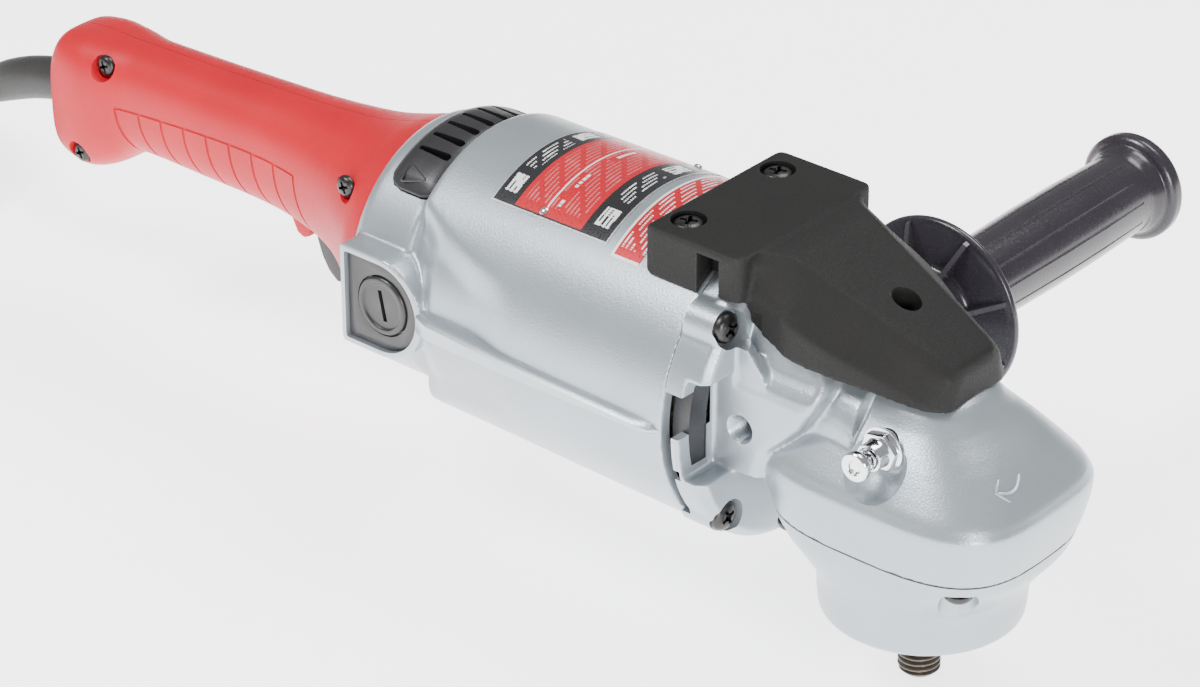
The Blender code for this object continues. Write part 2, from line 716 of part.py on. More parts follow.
def pinion():
    """The small bevel gear on the armature shaft, with a tooth pointing down into the ring gear's gap."""
    tip = (PITCH_DEPTH + ADDENDUM) / GEAR_OUT
    root = (PITCH_DEPTH - DEDENDUM) / GEAR_OUT
    angles = list(tooth_angles(PINION_TEETH, -math.pi / 2, 0.06, 0.18))
    sections = []
    for out in (GEAR_IN, GEAR_OUT):
        radii = [out * (tip if on_tip else root) for _, on_tip in angles]
        sections.append([(-out, r * math.cos(a), r * math.sin(a)) for r, (a, _) in zip(radii, angles)])
    bore = 5.0 + GAP
    for x, radius in ((-33.5, 8.6), (-44.0, 8.6), (-44.0, bore), (-32.5, bore)):
        sections.append([(x, radius * math.cos(a), radius * math.sin(a)) for a, _ in angles])
    gear = loft("pinion", sections, "bright_steel")
    gear.location = Vector((0, 0, MOTOR_Z)) * MM
    return gear


def spindle():
    profile = [
        (0, SPINDLE_TIP_Z), (THREAD_R - 1.2, SPINDLE_TIP_Z), (THREAD_R, SPINDLE_TIP_Z + 1.4), (THREAD_R, 0),
        (SHOULDER_R, 0), (SHOULDER_R, 5), (13.0, 6), (13.0, 13.4), (10.0, 13.4), (10.0, 57.5),
        (9.0, 57.5), (9.0, 74), (8.0, 75), (8.0, 95), (5.0, 95.8), (5.0, 103.5), (0, 103.5),
    ]
    shaft = turned("spindle", profile, (0, 0, 0), "Z", "dark_steel", 20)
    cut(shaft, rod("spindle_lock_hole", 2.9, -12, 12, (0, 0, LOCK_Z), "Y", steps=12))
    return shaft


def spindle_lock():
    """The lock's threaded bushing, its sprung pin with a disc head, and the spring between them."""
    at = (LOCK_X, 0, LOCK_Z)
    bushing_profile = [
        (2.8, 20.5), (6.0, 20.5), (6.0, 29.8), (7.8, 29.8), (7.8, 33.2), (5.2, 33.6), (5.2, 38.8),
        (4.2, 38.8), (4.2, 30.0), (2.8, 30.0),
    ]
    bushing = turned("lock_bushing", bushing_profile, at, "-Y", "bright_steel", 16)
    pin = turned(
        "spindle_lock_pin",
        [
            (0, 13.2), (1.8, 13.2), (2.4, 14.2), (2.4, 41.5), (3.4, 42.0), (3.4, 43.4), (5.2, 44.0),
            (5.6, 44.6), (5.6, 46.6), (5.0, 47.2), (2.4, 47.2), (1.8, 46.4), (0, 46.4),
        ],
        at,
        "-Y",
        "bright_steel",
        16,
    )
    turns, per_turn, coil_r = 5, 9, 3.3
    low, high = 30.6, 41.0
    route = []
    for i in range(turns * per_turn + 1):
        angle = math.tau * i / per_turn
        reach = low + (high - low) * i / (turns * per_turn)
        point = Vector((LOCK_X + coil_r * math.cos(angle), -reach, LOCK_Z + coil_r * math.sin(angle)))
        route.append(point * MM)
    return bushing, pin, lock_spring(route)


def lock_spring(route):
    curve = bpy.data.curves.new("lock_spring", "CURVE")
    curve.dimensions = "3D"
    curve.bevel_depth = 0.45 * MM
    curve.bevel_resolution = 0
    curve.use_fill_caps = True
    curve.resolution_u = 1
    curve.render_resolution_u = 0
    line = curve.splines.new("POLY")
    line.points.add(len(route) - 1)
    for slot, point in zip(line.points, route):
        slot.co = (*point, 1.0)
    curve.materials.append(finish_material("lock_spring", "bright_steel"))
    obj = bpy.data.objects.new("lock_spring", curve)
    bpy.context.scene.collection.objects.link(obj)
    return obj


# ---- Rubber bumper, nameplates -------------------------------------------------------------------


def rubber_bumper():
    """The pad over the gear case's joint: a flat rear part and a nose that runs down the head."""
    stations = (  # x, half width at the top, half width below, top, bottom
        (-60.0, 35.0, 38.5, 146.8, 128.0),
        (-51.0, 31.0, 39.2, 146.4, 118.0),
        (-44.0, 27.0, 39.3, 146.0, 117.0),
        (-36.0, 25.0, 38.5, 144.0, 115.0),
        (-22.0, 22.5, 34.5, 137.5, 112.0),
        (-6.0, 20.0, 29.0, 130.0, 109.0),
        (8.0, 17.5, 24.0, 124.0, 106.0),
        (16.0, 15.5, 20.5, 120.5, 105.0),
        (19.5, 12.0, 15.5, 117.5, 105.0),
    )
    sections = []
    for x, top_half, low_half, top, bottom in stations:
        shoulder, edge = (top_half + 1, top - 3), (top_half - 3, top)
        half_outline = [(low_half, bottom), (low_half, top - 12), shoulder, edge]
        right = [(x, -y, z) for y, z in half_outline]
        left = [(x, y, z) for y, z in reversed(half_outline)]
        sections.append(right + left)
    bumper = loft("rubber_bumper", sections, "black_rubber")
    side_view = [
        (-101, 128), (-60, 127.5), (-56.5, 131), (-56.5, 145.5), (-58, 147.3), (-99, 147.3), (-101, 145),
    ]
    rear = extruded("bumper_rear", side_view, -39, 39, "XZ")
    unite(bumper, rear)
    for side in (-1, 1):
        near, far = sorted((side * 30, side * 45))
        cut(bumper, block(f"bumper_notch_{side}", (-76, near, 120), (-65, far, 144)))
    cut(
        bumper,
        rod("housing_clearance", HOUSING_R + GAP, -120, -70, (0, 0, MOTOR_Z), "X", steps=36),
        flange_solid("flange_clearance", GAP),
        neck_solid("neck_clearance", GAP),
        throat_solid("throat_clearance", GAP),
        head_solid("head_clearance", GAP),
    )
    for side in (-1, 1):
        at = (BUMPER_SCREW_X, side * BUMPER_SCREW_Y, 0)
        cut(bumper, rod(f"bumper_counterbore_{side}", 6.6, BUMPER_SCREW_SEAT_Z, 160, at, "Z", steps=14))
        cut(bumper, rod(f"bumper_hole_{side}", 2.4, 120, 160, at, "Z", steps=8))
        upper_y, upper_z = CASE_SCREWS[0]
        case_screw_at = (0, side * upper_y, upper_z)
        cut(bumper, rod(f"screw_clearance_{side}", 9.2, -66, -50, case_screw_at, "X", steps=14))
    cut(bumper, rod("nose_recess", 5.5, 124.5, 140, (-12, 0, 0), "Z", steps=14))
    return bumper


def bumper_screws():
    made = []
    for side, tag in ((-1, "right"), (1, "left")):
        at = (BUMPER_SCREW_X, side * BUMPER_SCREW_Y, BUMPER_SCREW_SEAT_Z + GAP)
        made.append(pan_screw(f"bumper_screw_{tag}", at, "Z", 6.2, 2.8, 2.0, 17))
    return made


def label_plate(name, front, rear, low_deg, high_deg, finish, thickness=0.6):
    """A thin plate wrapped on the housing, between two angles from its top. Negative is the right side."""
    rows = []
    steps = 14
    for i in range(steps + 1):
        angle = math.radians(low_deg + (high_deg - low_deg) * i / steps)
        s, c = math.sin(angle), math.cos(angle)
        row = []
        for x, lift in ((rear, 0), (rear, thickness), (front, thickness), (front, 0)):
            taper = (x - BODY_REAR_X) / (JOINT_X - BODY_REAR_X)
            radius = HOUSING_REAR_R + (HOUSING_R - HOUSING_REAR_R) * taper + GAP + lift
            row.append((x, radius * s, MOTOR_Z + radius * c))
        rows.append(row)
    return loft(name, rows, finish)


# ---- Rear handle ---------------------------------------------------------------------------------

HANDLE_SECTIONS = (  # x, bottom, top, half width, roundness
    (HANDLE_REAR_X, 64.0, 103.5, 14.0, 3.0),
    (-432.5, 59.5, 108.5, 17.5, 3.2),
    (-429.0, 56.5, 112.0, 20.0, 3.4),
    (-418.0, 54.5, 113.8, 21.5, 3.4),
    (-402.0, 59.5, 114.0, 20.5, 3.0),
    (-393.0, 66.0, 114.2, 18.6, 2.6),
    (-384.0, 68.5, 114.5, 18.2, 2.5),
    (-320.0, 69.0, 117.0, 19.6, 2.5),
    (-300.0, 67.5, 118.0, 21.5, 2.4),
    (-280.0, 63.5, 120.0, 26.0, 2.3),
    (-265.0, 57.0, 122.5, 32.5, 2.2),
    (-252.0, 47.0, 126.5, 40.5, 2.1),
    (-243.0, 36.0, 128.5, 47.0, 2.0),
    (HANDLE_FRONT_X, 32.5, 129.5, 48.5, 2.0),
)


def handle_solid(name, finish=None, grow=0.0):
    return loft(name, [handle_section(*row, -grow) for row in HANDLE_SECTIONS], finish)


def handle_section(x, low, high, half, power, inset):
    middle = (low + high) / 2
    return [(x, y, middle + z) for y, z in superellipse(half - inset, (high - low) / 2 - inset, power, 22)]


def handle_hollow(name):
    """The space inside the handle, open at the front."""
    rows = [handle_section(*row, HANDLE_WALL) for row in HANDLE_SECTIONS[2:]]
    past_front = [(x + 5, y, z) for x, y, z in rows[-1]]
    return loft(name, [*rows, past_front])


def handle_half(side):
    tag = "left" if side > 0 else "right"
    half = handle_solid(f"handle_half_{tag}", "red_plastic")
    lug_side = [
        (-308, 70.5), (-307.5, 65), (-305, 60.5), (-301.5, 59), (-298.5, 60.5), (-297.5, 64), (-297.5, 70.5),
    ]
    lug = extruded(f"handle_lug_{tag}", lug_side, -7, 7, "XZ")
    unite(half, lug)
    cut(half, handle_hollow(f"handle_hollow_{tag}"))
    limit = handle_solid(f"handle_limit_{tag}", grow=0.05)
    for x, z in HANDLE_SCREWS:
        reach = handle_half_width(x, z) - 1.5
        boss = rod(f"handle_boss_{tag}_{x}", 6.4, -reach, reach, (x, 0, z), "Y", steps=12)
        combine(boss, limit, "INTERSECT")
        unite(half, boss)
    near, far = sorted((side * SEAM_GAP, -side * 80))
    cut(half, block(f"handle_other_side_{tag}", (-460, near, 0), (-200, far, 160)))
    cut(half, block(f"trigger_slot_{tag}", (-297.2, -9, 40), (-258.5, 9, 79)))
    cut(half, rod(f"cord_hole_{tag}", 10.1, -450, -428.5, (0, 0, 82.9), "X", steps=24))
    for x, z in HANDLE_SCREWS:
        through = rod(f"handle_bore_{tag}_{x}", 2.4, -60, 60, (x, 0, z), "Y", steps=8)
        cut(half, through)
        if side < 0:
            depth = handle_half_width(x, z) - SCREW_HEAD_DEPTH
            cut(half, rod(f"handle_counterbore_{x}", 5.0, depth + GAP, 70, (x, 0, z), "-Y", steps=12))
    return half


def handle_half_width(x, z):
    """How far the handle's side stands from its seam at a point of it."""
    for (x0, *low), (x1, *high) in zip(HANDLE_SECTIONS, HANDLE_SECTIONS[1:]):
        if x0 <= x <= x1:
            share = (x - x0) / (x1 - x0)
            bottom, top, half, power = (a + (b - a) * share for a, b in zip(low, high))
            off = abs(z - (bottom + top) / 2) / ((top - bottom) / 2)
            return half * (1 - off**power) ** (1 / power)
    return 0.0


def handle_screws():
    made = []
    for (x, z), tag in zip(HANDLE_SCREWS, ("rear", "front", "heel")):
        seat = handle_half_width(x, z) - SCREW_HEAD_DEPTH + 2 * GAP
        made.append(pan_screw(f"handle_screw_{tag}", (x, -seat, z), "-Y", 4.6, 2.2, 1.9, seat + 9))
    return made


def trigger():
    """The switch trigger. It hinges on a pin near its front and its tip swings back into the grip."""
    outline = [
        (-294.5, 68), (-293.5, 62), (-291, 55), (-287.5, 49.5), (-283, 46), (-281, 46.5), (-279.5, 50),
        (-277, 54.5), (-273, 59.5), (-268, 62.5), (-262, 64), (-261, 69), (-261, 76), (-264, 80), (-270, 80),
        (-276, 75), (-284, 72.5), (-291, 72.5), (-294, 71),
    ]
    lever = extruded("trigger", outline, -TRIGGER_HALF_Y, TRIGGER_HALF_Y, "XZ", "black_plastic")
    soften(lever, 1.2)
    cut(lever, rod("trigger_bore", 2.3, -12, 12, TRIGGER_PIVOT, "Y", steps=12))
    return lever


def switch_body():
    """The switch, with two cheeks that carry the trigger's pin."""
    body = block("switch_body", (-330, -11.5, 82), (-262, 11.5, 106), "black_plastic")
    for side in (-1, 1):
        near, far = sorted((side * 8.6, side * 11.5))
        cheek = block(f"switch_cheek_{side}", (-272, near, 71), (-260, far, 84))
        unite(body, cheek)
    cut(body, rod("switch_pin_bore", 2.3, -20, 20, TRIGGER_PIVOT, "Y", steps=12))
    cut(body, rod("switch_front_clearance", 9.0, -8.3, 8.3, TRIGGER_PIVOT, "Y", steps=24))
    return body


def cord_clamp():
    return block("cord_clamp", (-424, -12, 93), (-416, 12, 97), "dark_steel")


# ---- Side handle ---------------------------------------------------------------------------------


def side_handle():
    at = (SIDE_HOLE_X, 0, MOTOR_Z)
    profile = [
        (5.0, BOSS_HALF_Y + GAP), (10.5, BOSS_HALF_Y + GAP), (11.5, 61), (16.0, 67.5), (19.0, 73.5),
        (34.0, 76.3), (36.5, 77.5), (36.5, 79.7), (34.5, 80.5), (19.0, 81.5), (16.6, 84.5), (17.2, 125),
        (17.2, 165), (16.2, 192), (16.0, 199), (18.5, 202.5), (21.0, 203.5), (22.0, 205), (22.0, 209),
        (20.5, 210.8), (5.0, GRIP_END_Y),
    ]
    grip = turned("side_handle_grip", profile, at, "Y", "black_plastic", 22)
    for i in range(GUARD_RIBS):
        fin = extruded(f"guard_rib_{i}", [(14, 73.5), (34, 76.7), (34, 75), (16, 61.5)], -0.9, 0.9, "XZ")
        turn = Matrix.Rotation(math.tau * i / GUARD_RIBS, 4, "Y") @ Matrix.Rotation(-math.pi / 2, 4, "X")
        fin.rotation_euler = turn.to_euler()
        fin.location = Vector(at) * MM
        unite(grip, fin)
    stud = rod("side_handle_stud", 4.5, 27, 150, at, "Y", "bright_steel", 20, chamfer=0.8)
    return grip, stud


# ---- Cord ----------------------------------------------------------------------------------------

# Route points in metres, from the strain relief's end to the coil's top, and from the coil to the plug
CORD_ROUTE = (
    (-0.4956, 0.0000, 0.0604),
    (-0.5080, 0.0010, 0.0533),
    (-0.5215, 0.0068, 0.0459),
    (-0.5360, 0.0195, 0.0378),
    (-0.5500, 0.0340, 0.0304),
    (-0.5665, 0.0470, 0.0252),
    (-0.5870, 0.0535, 0.0230),
)
TAIL_ROUTE = (
    (-0.6320, 0.0010, 0.0229),
    (-0.6295, -0.0144, 0.0242),
    (-0.6220, -0.0285, 0.0280),
    (-0.6100, -0.0389, 0.0318),
    (-0.5955, -0.0440, 0.0331),
)
SLEEVE_ROUTE = (  # point in millimetres, radius
    ((-424.0, 0, 83.6), 9.0),
    ((-430.0, 0, 83.4), 9.0),
    ((-440.0, 0, 82.3), 9.0),
    ((-451.0, 0, 79.9), 9.0),
    ((-463.0, 0, 76.4), 9.0),
    ((-475.0, 0, 71.6), 8.8),
    ((-485.0, 0, 66.6), 8.0),
    ((-495.0, 0, 60.8), 6.6),
)


def strain_relief():
    sections = []
    count = 16
    points = [Vector(p) for p, _ in SLEEVE_ROUTE]
    for i, (point, (_, radius)) in enumerate(zip(points, SLEEVE_ROUTE)):
        along = (points[min(i + 1, len(points) - 1)] - points[max(i - 1, 0)]).normalized()
        up = Vector((0, 1, 0)).cross(along)
        ring_points = []
        for k in range(count):
            angle = math.tau * k / count
            ring_points.append(point + radius * (math.cos(angle) * Vector((0, 1, 0)) + math.sin(angle) * up))
        sections.append(ring_points)
    sleeve = loft("strain_relief", sections, "black_rubber")
    collar = rod("strain_relief_collar", 11.5, 0, 3, (-428, 0, 83.8), "X", steps=24)
    unite(sleeve, collar)
    return sleeve


def cord_coil():
    at = (*COIL_CENTRE, FLOOR_Z)
    return ring("cord_coil", COIL_IN_R, COIL_OUT_R, 0, COIL_HEIGHT, at, "Z", "black_rubber", 28)


def plug():
    """A moulded three-pin plug lying on the coil, its back towards the cord's tail."""
    body = turned(
        "plug",
        [(0, 0), (6.0, 0), (6.5, 6), (10.5, 11), (14.0, 15), (15.0, 22), (15.0, 33), (14.2, 34), (0, 34)],
        (0, 0, 0),
        "X",
        "black_plastic",
        18,
    )
    for tag, y, z, half_y, half_z, reach in (
        ("left", 6.35, 2.5, 0.75, 3.2, 51),
        ("right", -6.35, 2.5, 0.75, 3.2, 51),
        ("ground", 0, -8.0, 2.3, 2.3, 54),
    ):
        blade = block(f"plug_blade_{tag}", (30, y - half_y, z - half_z), (reach, y + half_y, z + half_z))
        blade.parent = body
        blade.matrix_parent_inverse = Matrix.Rotation(-math.pi / 2, 4, "Y")
        unite(body, blade)
    turn = Matrix.Rotation(math.radians(PLUG_TURN_DEG), 4, "Z") @ Matrix.Rotation(math.pi / 2, 4, "Y")
    body.rotation_euler = turn.to_euler()
    body.location = Vector(PLUG_BACK) * MM
    return body


# ---- Assembly ------------------------------------------------------------------------------------


def stand_on_spindle():
    """Raises everything, so that the spindle's end is at the origin's height."""
    for obj in bpy.data.objects:
        if obj.parent is None:
            obj.location.z -= SPINDLE_TIP_Z * MM


def build():
    clear_scene()
    motor_housing()
    vent_grille()
    for side in (-1, 1):
        brush_gear(side)
        field_coil(side)
        handle_half(side)
    stator()
    fan_baffle()
    gear_case()
    bearing_retainer()
    retainer_screws()
    case_screws()
    rubber_bumper()
    bumper_screws()
    label_plate("nameplate", -121, -177, -35, 35, "label_red")
    label_plate("warning_label", -104, -117, -38, 38, "label_red")
    handle_screws()
    switch_body()
    cord_clamp()
    ball_bearing("motor_bearing_rear", 4.4 + GAP, 13.0, -235, -229.5, (0, 0, MOTOR_Z), "X")
    ball_bearing("motor_bearing_front", 8.2 + GAP, 20.0, -73.5, -60.5, (0, 0, MOTOR_Z), "X")
    ball_bearing("spindle_bearing_lower", 10.0 + GAP, 20.0, 14.0, 28.0, (0, 0, 0), "Z")
    ball_bearing("spindle_bearing_upper", 5.0 + GAP, 11.0, 96.2, 104.0, (0, 0, 0), "Z")
    side_handle()
    strain_relief()
    tube("cord", CORD_ROUTE, CORD_R, "black_rubber", 0.012)
    tube("cord_tail", TAIL_ROUTE, CORD_R, "black_rubber", 0.008)
    cord_coil()
    plug()
    rod("trigger_pin", 2.0, -11.3, 11.3, TRIGGER_PIVOT, "Y", "bright_steel", 12)

    motor_axis = axis_empty("armature_axis", (SPIN_ORIGIN_X, 0, MOTOR_Z))
    hang(motor_axis, armature(), commutator(), cooling_fan(), pinion())
    spindle_axis = axis_empty("spindle_axis", (0, 0, 0))
    hang(spindle_axis, spindle(), ring_gear())
    trigger_axis = axis_empty("trigger_axis", TRIGGER_PIVOT)
    hang(trigger_axis, trigger())
    lock_axis = axis_empty("lock_axis", (LOCK_X, -45, LOCK_Z))
    _, pin, _ = spindle_lock()
    hang(lock_axis, pin)
    stand_on_spindle()


build()
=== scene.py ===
import json
import math

import bmesh
import bpy
import numpy as np
from mathutils import Matrix, Vector
from mathutils.bvhtree import BVHTree


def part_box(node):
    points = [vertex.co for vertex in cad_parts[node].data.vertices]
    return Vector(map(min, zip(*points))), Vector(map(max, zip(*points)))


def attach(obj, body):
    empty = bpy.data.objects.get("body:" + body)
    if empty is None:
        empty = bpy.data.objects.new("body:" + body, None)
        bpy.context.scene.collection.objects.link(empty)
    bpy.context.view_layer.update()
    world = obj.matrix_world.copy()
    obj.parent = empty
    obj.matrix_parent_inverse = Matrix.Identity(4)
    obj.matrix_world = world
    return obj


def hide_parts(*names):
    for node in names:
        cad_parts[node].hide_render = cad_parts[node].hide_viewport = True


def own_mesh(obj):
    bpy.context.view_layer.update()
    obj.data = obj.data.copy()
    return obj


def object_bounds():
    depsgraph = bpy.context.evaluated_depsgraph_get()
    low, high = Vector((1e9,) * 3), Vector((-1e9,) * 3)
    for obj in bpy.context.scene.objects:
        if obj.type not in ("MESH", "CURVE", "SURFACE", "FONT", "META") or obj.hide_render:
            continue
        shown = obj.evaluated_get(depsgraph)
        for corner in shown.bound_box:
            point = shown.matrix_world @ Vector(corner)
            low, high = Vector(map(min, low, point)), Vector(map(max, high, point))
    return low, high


# The looks of a rear-handle angle grinder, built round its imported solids. +X is forward, +Y is the tool's
# left and +Z is up. Pieces are shaped in millimetres, with heights from the spindle's shoulder, and are
# brought to the frame's metres when they are finished.

MM = 0.001
GAP = 0.3  # the clearance that the solids keep between touching pieces

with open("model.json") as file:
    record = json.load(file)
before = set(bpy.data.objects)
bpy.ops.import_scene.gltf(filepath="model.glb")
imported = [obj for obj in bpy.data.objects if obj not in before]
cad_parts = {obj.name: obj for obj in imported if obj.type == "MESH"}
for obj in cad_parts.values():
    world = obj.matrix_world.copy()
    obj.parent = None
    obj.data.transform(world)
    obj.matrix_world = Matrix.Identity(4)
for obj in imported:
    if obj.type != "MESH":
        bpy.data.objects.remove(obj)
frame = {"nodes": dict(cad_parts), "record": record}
CAD_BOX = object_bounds()
JOINTS = {joint["name"]: joint for joint in frame["record"]["behaviour"]["joints"]}
MOUNTS = {mount["name"]: mount for mount in frame["record"]["mounts"]}
SEAT = Vector((0, 0, MOUNTS["spindle_seat"]["pos_m"][2])) / MM
TO_FRAME = Matrix.Scale(MM, 4) @ Matrix.Translation(SEAT)
SLOTS = {part["node"]: part["material_slot"] for part in frame["record"]["subparts"]}
MATERIALS = {}  # by slot, and by ink for the labels


def low_of(node):
    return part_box(node)[0] / MM - SEAT


def high_of(node):
    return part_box(node)[1] / MM - SEAT


def middle_of(node):
    return (low_of(node) + high_of(node)) / 2


# Main places, all read from the solids
FLOOR_Z = CAD_BOX[0].z / MM - SEAT.z
MOTOR_Z = JOINTS["armature_spin"]["pos_m"][2] / MM - SEAT.z
HOUSING_REAR_X = low_of("motor_housing").x
JOINT_X = low_of("gear_case").x
HOUSING_R = high_of("motor_housing").z - MOTOR_Z
BAND_R = HOUSING_R - 8.3
HOUSING_BORE_R = HOUSING_R - 5.3
BAND_BORE_R = BAND_R - 6
GRILLE_LOW, GRILLE_HIGH = low_of("vent_grille"), high_of("vent_grille")
BODY_REAR_X = GRILLE_HIGH.x + 0.5
BRUSH = middle_of("brush_cap_right")
BRUSH_FACE_Y = -low_of("brush_plate_right").y
BRUSH_PLATE_R = (high_of("brush_plate_right").z - low_of("brush_plate_right").z) / 2
BRUSH_CAP_R = (high_of("brush_cap_right").z - low_of("brush_cap_right").z) / 2
HEAD_SEAM_Z = high_of("bearing_retainer").z
HEAD_TOP_Z = high_of("spindle_bearing_upper").z + 5
FLANGE_FRONT_X = JOINT_X + 17
SIDE_AXIS = middle_of("side_handle_stud")
BOSS_HALF_Y = low_of("side_handle_grip").y - GAP
SPINDLE_TIP_Z = low_of("spindle").z
LOCK = middle_of("lock_bushing")
HANDLE_REAR_X = low_of("handle_half_right").x
HANDLE_FRONT_X = high_of("handle_half_right").x
COIL = middle_of("cord_coil")
COIL_IN_R = (high_of("cord_coil").x - low_of("cord_coil").x) / 2 - 18


# ---- Camera and stage ----


CAMERA_AT = (0.76177, -1.07522, 0.87926)
CAMERA_TURN = (math.radians(60.5), 0, math.radians(40.4))
LENS_MM = 129
FLOOR_GLOW = 2.6
ROOM_LIGHT = 0.42
LAMPS = (  # name, place, aim, watts, width
    ("key", (-0.9, -1.1, 1.9), (-0.2, 0, 0.08), 50, 0.7),
    ("top", (0.0, 0.7, 1.7), (-0.15, 0, 0.08), 26, 0.9),
    ("front", (1.3, -1.0, 0.55), (0, 0, 0.06), 22, 0.5),
)


def camera():
    data = bpy.data.cameras.new("camera")
    data.lens = LENS_MM
    data.sensor_width = 36
    data.clip_end = 50
    eye = bpy.data.objects.new("camera", data)
    eye.location = CAMERA_AT
    eye.rotation_euler = CAMERA_TURN
    bpy.context.scene.collection.objects.link(eye)
    bpy.context.scene.camera = eye


def lamp(name, at, towards, watts, size):
    data = bpy.data.lights.new(name, "AREA")
    data.energy = watts
    data.size = size
    light = bpy.data.objects.new(name, data)
    light.location = at
    light.rotation_euler = (Vector(towards) - Vector(at)).to_track_quat("-Z", "Y").to_euler()
    bpy.context.scene.collection.objects.link(light)


def stage():
    bm = bmesh.new()
    bmesh.ops.create_grid(bm, x_segments=1, y_segments=1, size=6000)
    floor = put(new_object("floor", bm), (0, 0, FLOOR_Z - 0.05))
    floor.data.transform(TO_FRAME)
    paper = surface("floor_paper", (0.95, 0.95, 0.95), 0.75, grain=300, depth=0.02, tone=0.01)
    glow = paper.node_tree.nodes["Principled BSDF"].inputs
    glow["Emission Color"].default_value = (1, 1, 1, 1)
    glow["Emission Strength"].default_value = FLOOR_GLOW
    floor.data.materials.append(paper)
    world = bpy.data.worlds.new("studio")
    world.use_nodes = True
    sky = world.node_tree.nodes["Background"].inputs
    sky["Color"].default_value = (0.96, 0.98, 1.0, 1)
    sky["Strength"].default_value = ROOM_LIGHT
    bpy.context.scene.world = world
    for row in LAMPS:
        lamp(*row)


# ---- Shape helpers ----

TURNS = {
    "Z": Matrix.Identity(4),
    "-Z": Matrix.Rotation(math.pi, 4, "X"),
    "X": Matrix.Rotation(math.pi / 2, 4, "Y"),
    "-X": Matrix.Rotation(-math.pi / 2, 4, "Y"),
    "Y": Matrix.Rotation(-math.pi / 2, 4, "X"),
    "-Y": Matrix.Rotation(math.pi / 2, 4, "X"),
}


def new_object(name, bm):
    bmesh.ops.recalc_face_normals(bm, faces=bm.faces)
    mesh = bpy.data.meshes.new(name)
    bm.to_mesh(mesh)
    bm.free()
    obj = bpy.data.objects.new(name, mesh)
    bpy.context.scene.collection.objects.link(obj)
    return obj


def put(obj, at=(0, 0, 0), axis="Z", turn=0.0):
    """Moves a new piece's mesh: a turn about its own Z, its Z to the named axis, then to its place."""
    obj.data.transform(Matrix.Translation(at) @ TURNS[axis] @ Matrix.Rotation(turn, 4, "Z"))
    return obj


def drop(*objects):
    for obj in objects:
        bpy.data.objects.remove(obj)


def baked(obj):
    """The piece with its modifiers applied."""
    evaluated = obj.evaluated_get(bpy.context.evaluated_depsgraph_get())
    mesh = bpy.data.meshes.new_from_object(evaluated)
    obj.modifiers.clear()
    obj.data = mesh
    return obj


def rounded(points, radius, steps=4, closed=False):
    """An outline whose corners are cut to short curves."""
    points = [Vector(p) for p in points]
    if closed:
        points = [points[-1], *points, points[0]]
    made = [] if closed else [points[0]]
    for before, corner, after in zip(points, points[1:], points[2:]):
        reach = min(radius, (before - corner).length * 0.45, (after - corner).length * 0.45)
        start = corner + (before - corner).normalized() * reach
        end = corner + (after - corner).normalized() * reach
        for i in range(steps + 1):
            t = i / steps
            made.append((1 - t) ** 2 * start + 2 * t * (1 - t) * corner + t**2 * end)
    return made if closed else [*made, points[-1]]


def lathe(name, profile, at=(0, 0, 0), axis="Z", steps=96):
    """A turned solid from (radius, height) points. A profile that stays off the axis makes a ring."""
    bm = bmesh.new()
    points = [bm.verts.new((r, 0, h)) for r, h in profile]
    edges = [bm.edges.new(pair) for pair in zip(points, points[1:])]
    if profile[0][0] > 0:
        edges.append(bm.edges.new((points[-1], points[0])))
    bmesh.ops.spin(bm, geom=points + edges, cent=(0, 0, 0), axis=(0, 0, 1), angle=2 * math.pi, steps=steps)
    bmesh.ops.remove_doubles(bm, verts=bm.verts, dist=2e-3)
    return put(new_object(name, bm), at, axis)


def rod(name, radius, low, high, at=(0, 0, 0), axis="Z", steps=64):
    return lathe(name, [(0, low), (radius, low), (radius, high), (0, high)], at, axis, steps)


def loft(name, rings):
    """A closed solid through rings of points that all have the same count."""
    bm = bmesh.new()
    rows = [[bm.verts.new(p) for p in ring] for ring in rings]
    for low, high in zip(rows, rows[1:]):
        for i, corner in enumerate(low):
            j = (i + 1) % len(low)
            bm.faces.new((corner, low[j], high[j], high[i]))
    bm.faces.new(rows[0])
    bm.faces.new(rows[-1])
    return new_object(name, bm)


def prism(name, outline, low, high, plane):
    """A flat outline pushed from low to high, along Y for an XZ outline and along Z for an XY one."""
    lift = {
        "XZ": lambda p, d: (p[0], d, p[1]),
        "XY": lambda p, d: (p[0], p[1], d),
        "YZ": lambda p, d: (d, p[0], p[1]),
    }[plane]
    return loft(name, [[lift(p, d) for p in outline] for d in (low, high)])


def span(side, near, far):
    """A stretch of Y on one side of the tool, its lower value first."""
    return sorted((side * near, side * far))


def out_from(side):
    return "Y" if side > 0 else "-Y"


def block(name, low, high):
    corners = [(low[0], low[1]), (high[0], low[1]), (high[0], high[1]), (low[0], high[1])]
    return prism(name, corners, low[2], high[2], "XY")


def superellipse(half_a, half_b, power, count=96):
    points = []
    for i in range(count):
        angle = math.tau * i / count
        c, s = math.cos(angle), math.sin(angle)
        size = (abs(c / half_a) ** power + abs(s / half_b) ** power) ** (-1 / power)
        points.append((c * size, s * size))
    return points


def curve_through(points, per_gap):
    """Points of a smooth curve through the given ones, which may be rows of any numbers."""
    rows = [np.array(p, float) for p in points]
    rows = [2 * rows[0] - rows[1], *rows, 2 * rows[-1] - rows[-2]]
    made = []
    for a, b, c, d in zip(rows, rows[1:], rows[2:], rows[3:]):
        for i in range(per_gap):
            t = i / per_gap
            bend = (2 * a - 5 * b + 4 * c - d) * t**2 + (3 * b - a - 3 * c + d) * t**3
            made.append(0.5 * (2 * b + (c - a) * t + bend))
    return [*made, rows[-2]]


def ramp(value, start, end):
    """0 before start, 1 after end and a smooth rise between them."""
    t = min(1.0, max(0.0, (value - start) / (end - start)))
    return t * t * (3 - 2 * t)


